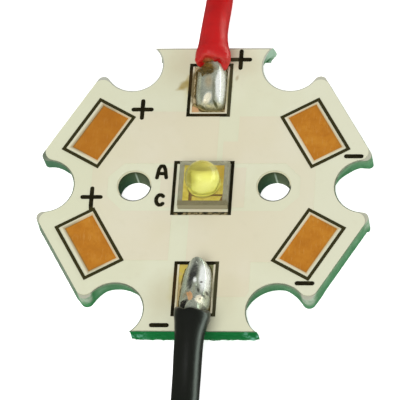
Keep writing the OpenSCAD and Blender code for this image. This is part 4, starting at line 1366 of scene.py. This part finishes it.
PLUS_Y = [5.34, 5.44, 5.6, 5.8, 6.1, 6.5, 7.0, 7.5, 8.0, 8.22, 8.33]
PLUS = dict(
    xl=[-0.20, -0.42, -0.64, -0.81, -0.90, -0.93, -0.93, -0.92, -0.90, -0.87, -0.80],
    xa=[0.00, -0.08, -0.16, -0.22, -0.26, -0.28, -0.26, -0.20, -0.12, -0.05, 0.00],
    ha=[0.00, 0.30, 0.55, 0.72, 0.82, 0.88, 0.96, 1.06, 1.20, 1.26, 0.90],
    xv=[0.18, 0.22, 0.26, 0.28, 0.30, 0.30, 0.30, 0.30, 0.29, 0.27, 0.24],
    hv=[0.00, 0.20, 0.36, 0.49, 0.60, 0.72, 0.88, 1.03, 1.20, 1.26, 0.90],
    xb=[0.40, 0.52, 0.58, 0.62, 0.64, 0.64, 0.62, 0.58, 0.53, 0.47, 0.41],
    hb=[0.00, 0.28, 0.52, 0.68, 0.78, 0.85, 0.94, 1.04, 1.18, 1.24, 0.88],
    xr=[0.58, 0.76, 0.87, 0.92, 0.95, 0.96, 0.96, 0.955, 0.94, 0.90, 0.82])

MINUS_Y = [-5.39, -5.43, -5.52, -5.72, -6.0, -6.5, -7.0, -7.5, -8.0, -8.4, -8.6, -8.67]
MINUS = dict(
    xl=[-0.20, -0.34, -0.48, -0.62, -0.74, -0.84, -0.90, -0.94, -0.97, -0.95, -0.85, -0.70],
    xa=[-0.06, -0.10, -0.12, -0.12, -0.14, -0.18, -0.20, -0.22, -0.24, -0.22, -0.18, -0.1],
    ha=[0.00, 0.80, 1.06, 1.12, 1.06, 1.00, 0.97, 1.00, 1.10, 1.22, 1.20, 0.70],
    xv=[0.06, 0.05, 0.06, 0.08, 0.10, 0.12, 0.14, 0.14, 0.12, 0.10, 0.08, 0.06],
    hv=[0.00, 0.90, 1.18, 1.21, 1.10, 0.96, 0.91, 0.96, 1.08, 1.22, 1.20, 0.70],
    xb=[0.20, 0.24, 0.30, 0.38, 0.47, 0.56, 0.60, 0.60, 0.57, 0.50, 0.38, 0.24],
    hb=[0.00, 0.78, 1.04, 1.06, 0.99, 0.94, 0.91, 0.94, 1.04, 1.16, 1.16, 0.68],
    xr=[0.34, 0.48, 0.64, 0.80, 0.90, 0.97, 0.98, 0.97, 0.96, 0.92, 0.84, 0.70])


def rough_plus(q):
    return 0.022 * fractal(q, 1.8, 3.0, 3)


def rough_minus(q):
    v = 0.032 * fractal(q, 1.6, 14.0, 3)
    v += 0.015 * abs(fractal(q, 3.1, 21.0, 3)) - 0.01
    v -= 0.09 * math.exp(-((q[0] - 0.22) / 0.09) ** 2 - ((q[1] + 7.25) / 0.16) ** 2)
    v -= 0.07 * math.exp(-((q[0] - 0.55) / 0.10) ** 2 - ((q[1] + 7.5) / 0.14) ** 2)
    v += 0.07 * math.exp(-((q[0] - 0.05) / 0.12) ** 2 - ((q[1] + 6.95) / 0.14) ** 2)
    v += 0.06 * math.exp(-((q[0] - 0.42) / 0.16) ** 2 - ((q[1] + 8.35) / 0.16) ** 2)
    return v


def build_joints():
    p, prow = mound("solder_plus", PLUS_Y, PLUS, rough_plus, 1.0)
    settle(p, M_SOLDER, "solder", "solder_joint_plus")
    m, mrow = mound("solder_minus", MINUS_Y, MINUS, rough_minus, 2.0)
    settle(m, M_SOLDER, "solder", "solder_joint_minus")
    s = strands("strands_plus", [(0.16, 8.8, 2.60), (0.16, 8.5, 2.46), (0.14, 8.1, 2.26), (0.12, 7.6, 2.05),
                                 (0.1, 7.0, 1.92), (0.1, 6.2, 1.80), (0.1, 5.85, 1.79)], 0.38, 0.25, 0.6,
                seed=3.0, squeeze=0.66)
    settle(s, M_STRANDS, "tinned_strands", "red_lead_core")
    s = strands("strands_minus", [(0.03, -9.75, 2.64), (0.03, -9.4, 2.62), (0.04, -9.0, 2.52), (0.05, -8.5, 2.28),
                                  (0.08, -8.0, 2.08), (0.1, -7.2, 1.90), (0.1, -6.2, 1.80), (0.1, -5.85, 1.79)],
                0.38, 0.25, 0.7, seed=4.0, squeeze=0.66)
    settle(s, M_STRANDS, "tinned_strands", "black_lead_core")
    return prow, mrow


PROW, MROW = build_joints()


# ---------------------------------------------------------------- flux residue
def mat_flux(name, base, deep):
    k = Shade(name)
    n1 = k.noise(3.0, 4, 0.65)
    n2 = k.noise(12.0, 3, 0.6, seed=5.0)
    col = k.mix(k.step(n1, 0.35, 0.7), base, deep)
    return k.finish(Base_Color=col, Roughness=k.lin(n2, 0.3, 0.7, 0.16, 0.38), Specular_IOR_Level=0.5,
                    Coat_Weight=0.4, Coat_Roughness=0.1, Normal=k.bump(n2, 0.3, 0.02))


M_FLUX = mat_flux("flux_residue", (0.115, 0.078, 0.018), (0.048, 0.034, 0.010))
M_CHAR = mat_flux("flux_charred", (0.020, 0.019, 0.014), (0.010, 0.010, 0.008))


def flux_band(name, rows, seed, limits, wide):
    """Low ragged bead of residue round the foot of a mound."""
    nu = len(rows[0]) - 1
    loop = ([rows[j][0] for j in range(0, len(rows), 3)]
            + [rows[-1][i] for i in range(1, nu, 4)]
            + [rows[j][nu] for j in range(len(rows) - 1, -1, -3)]
            + [rows[0][i] for i in range(nu - 1, 0, -4)])
    p = np.array([(v[0], v[1]) for v in loop])
    keep = [0]
    for i in range(1, len(p)):
        if np.linalg.norm(p[i] - p[keep[-1]]) > 0.03:
            keep.append(i)
    p = p[keep]
    n = len(p)
    d = np.roll(p, -1, 0) - np.roll(p, 1, 0)
    d /= np.linalg.norm(d, axis=1)[:, None] + 1e-9
    area = 0.5 * np.sum(p[:, 0] * np.roll(p[:, 1], -1) - np.roll(p[:, 0], -1) * p[:, 1])
    out = np.stack([d[:, 1], -d[:, 0]], 1) * (1 if area > 0 else -1)
    prof = [(-0.10, 0.0), (-0.08, 0.5), (-0.02, 1.0), (0.3, 0.9), (0.6, 0.6), (0.85, 0.3), (1.0, 0.0)]
    verts, faces = [], []
    x0, x1, y0, y1 = limits
    for i in range(n):
        w = wide * (0.65 + 0.75 * fractal((p[i, 0], p[i, 1], 0), 1.9, seed, 3))
        w = max(0.02, w)
        hgt = 0.035 + 0.02 * nz((p[i, 0], p[i, 1], 0), 3.0, seed + 4)
        for a, b in prof:
            q = p[i] + out[i] * (a * (w if a > 0 else 1.0))
            verts.append((min(max(q[0], x0), x1), min(max(q[1], y0), y1), Z_CU - 0.002 + b * hgt))
    m = len(prof)
    for i in range(n):
        k = (i + 1) % n
        for j in range(m):
            j2 = (j + 1) % m
            faces.append((i * m + j, i * m + j2, k * m + j2, k * m + j))
    ob = make_mesh(name, verts, faces)
    return settle(ob, M_FLUX, "solder")


flux_band("flux_ring_plus", PROW, 2.0, (-1.10, 0.98, 5.31, 8.59), 0.18)
flux_band("flux_ring_minus", MROW, 5.0, (-1.10, 0.98, -8.69, -5.37), 0.10)


def flux_lump(name, centre, size, seed, amp, mat=M_FLUX):
    """Burnt lump of residue."""
    bm = bmesh.new()
    bmesh.ops.create_icosphere(bm, subdivisions=5, radius=1.0)
    for v in bm.verts:
        q = v.co.copy()
        k = 1.0 + amp * fractal((q.x, q.y, q.z), 1.5, seed, 4)
        v.co = Vector((centre[0] + q.x * size[0] * k, centre[1] + q.y * size[1] * k,
                       centre[2] + q.z * size[2] * k)) * MM
    me = bpy.data.meshes.new(name)
    bm.to_mesh(me)
    bm.free()
    me.polygons.foreach_set("use_smooth", [True] * len(me.polygons))
    ob = bpy.data.objects.new(name, me)
    scene.collection.objects.link(ob)
    return settle(ob, mat, "solder")


flux_lump("flux_burnt_plus", (-0.14, 7.76, 2.42), (0.56, 0.36, 0.25), 3.0, 0.34)
flux_lump("flux_charred_minus", (-0.42, -8.80, 2.44), (0.36, 0.42, 0.30), 7.0, 0.30, M_CHAR)


def neck(name, path, radius, seed):
    """Solder drawn up the strands towards the insulation."""
    p, q = spline(path, 0.05)
    t, side, up = frames(p)
    rings = []
    for i in range(len(p)):
        e = min(1.0, min(q[i], q[-1] - q[i]) / 0.12)
        ring = []
        for j in range(40):
            a = 2 * math.pi * j / 40
            d = side[i] * math.cos(a) + up[i] * math.sin(a)
            r = radius(q[i] / q[-1]) * (0.55 + 0.45 * math.sqrt(e))
            r *= 1.0 + 0.10 * fractal(p[i] + d * r, 2.0, seed, 3)
            ring.append(p[i] + d * r)
        rings.append(np.array(ring))
    return rings_to_mesh(name, rings)


nk = neck("solder_neck_minus", [(0.05, -8.45, 2.27), (0.05, -8.7, 2.38), (0.04, -9.0, 2.52), (0.03, -9.28, 2.6)],
          lambda u: 0.56 - 0.08 * u, 6.0)
settle(nk, M_SOLDER, "solder")


def mat_wire_copper():
    k = Shade("strand_copper")
    n1 = k.noise(3.0, 3, 0.6)
    n2 = k.noise(15.0, 3, 0.6, seed=3.0)
    col = k.mix(k.step(n1, 0.35, 0.7), (0.74, 0.46, 0.24), (0.62, 0.32, 0.12))
    return k.finish(Base_Color=col, Metallic=0.3, Roughness=k.lin(n2, 0.3, 0.7, 0.28, 0.42),
                    Normal=k.bump(n2, 0.2, 0.01))


M_WIRE = mat_wire_copper()
M_BEAD = mat_flux("flux_bead", (0.30, 0.235, 0.085), (0.12, 0.085, 0.025))


def loose_strand(name, path, d, seed, mat=M_WIRE, slot="bare_copper"):
    """One strand that the solder has not covered, or a thin bead of residue."""
    p, q = spline(path, 0.04)
    t, side, up = frames(p)
    rings = []
    for i in range(len(p)):
        e = math.sqrt(min(1.0, (min(q[i], q[-1] - q[i]) + 0.02) / 0.08))
        rings.append(np.array([p[i] + (side[i] * math.cos(a) + up[i] * math.sin(a)) * d / 2 * e
                               * (1 + 0.08 * nz(p[i], 5.0, seed))
                               for a in np.linspace(0, 2 * math.pi, 16, endpoint=False)]))
    return settle(rings_to_mesh(name, rings), mat, slot)


loose_strand("strand_bare_a", [(-0.38, -7.68, 2.24), (-0.31, -7.88, 2.39), (-0.20, -8.15, 2.54), (-0.10, -8.5, 2.68),
                               (-0.06, -8.9, 2.80)], 0.30, 1.0)
loose_strand("strand_bare_b", [(-0.24, -7.72, 2.38), (-0.16, -7.95, 2.50), (-0.07, -8.3, 2.66), (0.00, -8.8, 2.84)], 0.24, 4.0)


loose_strand("flux_bead_plus_a", [(-1.02, 5.92, 1.53), (-0.86, 5.72, 1.56), (-0.62, 5.60, 1.55), (-0.42, 5.47, 1.57),
                                  (-0.16, 5.42, 1.55), (0.05, 5.36, 1.56)], 0.13, 6.0, M_BEAD, "solder")
loose_strand("flux_bead_plus_b", [(0.02, 5.44, 1.55), (0.26, 5.36, 1.57), (0.46, 5.40, 1.55), (0.68, 5.35, 1.56),
                                  (0.90, 5.48, 1.54)], 0.12, 9.0, M_BEAD, "solder")


# ---------------------------------------------------------------- floor, light
def build_stage():
    me = bpy.data.meshes.new("floor")
    s = 1.5
    me.from_pydata([(-s, -s, 0), (s, -s, 0), (s, s, 0), (-s, s, 0)], [], [(0, 1, 2, 3)])
    ob = bpy.data.objects.new("floor", me)
    scene.collection.objects.link(ob)
    k = Shade("floor_white")
    n = k.noise(0.02, 2, 0.5)
    col = k.mix(k.step(n, 0.3, 0.7), (0.86, 0.86, 0.86), (0.84, 0.84, 0.84))
    ob.data.materials.append(k.finish(Base_Color=col, Roughness=0.9, Specular_IOR_Level=0.1,
                                      Emission_Color=(1.0, 1.0, 1.0, 1.0), Emission_Strength=0.75))
    ob.visible_glossy = False


def area_light(name, where, size, watts, target=(0, 0, 0), colour=(1, 1, 1), shine=True):
    d = bpy.data.lights.new(name, "AREA")
    d.shape = "RECTANGLE"
    d.size, d.size_y = size
    d.energy = watts
    d.color = colour
    o = bpy.data.objects.new(name, d)
    scene.collection.objects.link(o)
    o.location = where
    o.rotation_mode = "QUATERNION"
    o.rotation_quaternion = (Vector(target) - Vector(where)).to_track_quat("-Z", "Y")
    o.visible_glossy = shine
    return o


def build_light():
    w = bpy.data.worlds.new("studio")
    scene.world = w
    w.use_nodes = True
    t = w.node_tree
    t.nodes.clear()
    tc = t.nodes.new("ShaderNodeTexCoord")
    sp = t.nodes.new("ShaderNodeSeparateXYZ")
    t.links.new(tc.outputs["Generated"], sp.inputs[0])

    def gradient(stops):
        rp = t.nodes.new("ShaderNodeValToRGB")
        t.links.new(sp.outputs[2], rp.inputs[0])
        e = rp.color_ramp.elements
        while len(e) < len(stops):
            e.new(0.5)
        for el, (pos, v) in zip(e, stops):
            el.position, el.color = pos, (v, v, v, 1)
        return rp.outputs[0]

    def calc(kind, *args):
        n = t.nodes.new("ShaderNodeMath")
        n.operation = kind
        for i, v in enumerate(args):
            if isinstance(v, (int, float)):
                n.inputs[i].default_value = v
            else:
                t.links.new(v, n.inputs[i])
        return n.outputs[0]

    def ease(v, lo, hi):
        n = t.nodes.new("ShaderNodeMapRange")
        n.interpolation_type = "SMOOTHSTEP"
        t.links.new(v, n.inputs[0])
        n.inputs[1].default_value, n.inputs[2].default_value = lo, hi
        return n.outputs[0]

    # soft room light; what mirrors in the metal and the leads is a dim room with a bright right side
    soft = gradient([(0.0, 0.42), (0.35, 0.52), (1.0, 0.62)])
    dx, dy, dz = sp.outputs
    flat = calc("MAXIMUM", calc("SQRT", calc("ADD", calc("MULTIPLY", dx, dx), calc("MULTIPLY", dy, dy))), 0.001)
    az = calc("DIVIDE", calc("ADD", calc("MULTIPLY", dx, 0.985), calc("MULTIPLY", dy, 0.174)), flat)
    high = calc("SUBTRACT", 1.0, ease(calc("ABSOLUTE", dz), 0.14, 0.34))
    side = calc("MULTIPLY", calc("POWER", ease(az, 0.45, 0.98), 1.5), high)
    front = calc("MULTIPLY", ease(calc("MULTIPLY", dy, -1.0), 0.45, 0.85), calc("SUBTRACT", 1.0, ease(calc("ABSOLUTE", dz), 0.2, 0.6)))

    def blend(fac, a, b):
        n = t.nodes.new("ShaderNodeMix")
        n.data_type = "RGBA"
        t.links.new(fac, n.inputs[0])
        for i, v in ((6, a), (7, b)):
            if isinstance(v, tuple):
                n.inputs[i].default_value = v + (1.0,)
            else:
                t.links.new(v, n.inputs[i])
        return n.outputs[2]

    seen = blend(front, (0.052, 0.050, 0.043), (0.9, 0.86, 0.70))
    seen = blend(side, seen, (2.68, 3.18, 2.76))
    lp = t.nodes.new("ShaderNodeLightPath")
    mx = t.nodes.new("ShaderNodeMix")
    mx.data_type = "RGBA"
    t.links.new(lp.outputs["Is Glossy Ray"], mx.inputs[0])
    t.links.new(soft, mx.inputs[6])
    t.links.new(seen, mx.inputs[7])
    bg = t.nodes.new("ShaderNodeBackground")
    out = t.nodes.new("ShaderNodeOutputWorld")
    t.links.new(mx.outputs[2], bg.inputs[0])
    bg.inputs[1].default_value = 1.0
    t.links.new(bg.outputs[0], out.inputs[0])
    # large soft source above and in front, a low strip at the right, a small lamp near the viewer
    area_light("key", (-0.10, -0.28, 0.50), (0.40, 0.40), 2.05, shine=False)
    area_light("side", (0.343, 0.198, 0.060), (0.45, 0.08), 0.50, shine=False)
    area_light("lamp", (-0.060, -0.324, 0.306), (0.09, 0.09), 0.12)
    scene.view_settings.view_transform = "Standard"
    scene.view_settings.look = "None"
    scene.view_settings.exposure = 0.0
    scene.view_settings.gamma = 1.0


build_stage()
build_light()
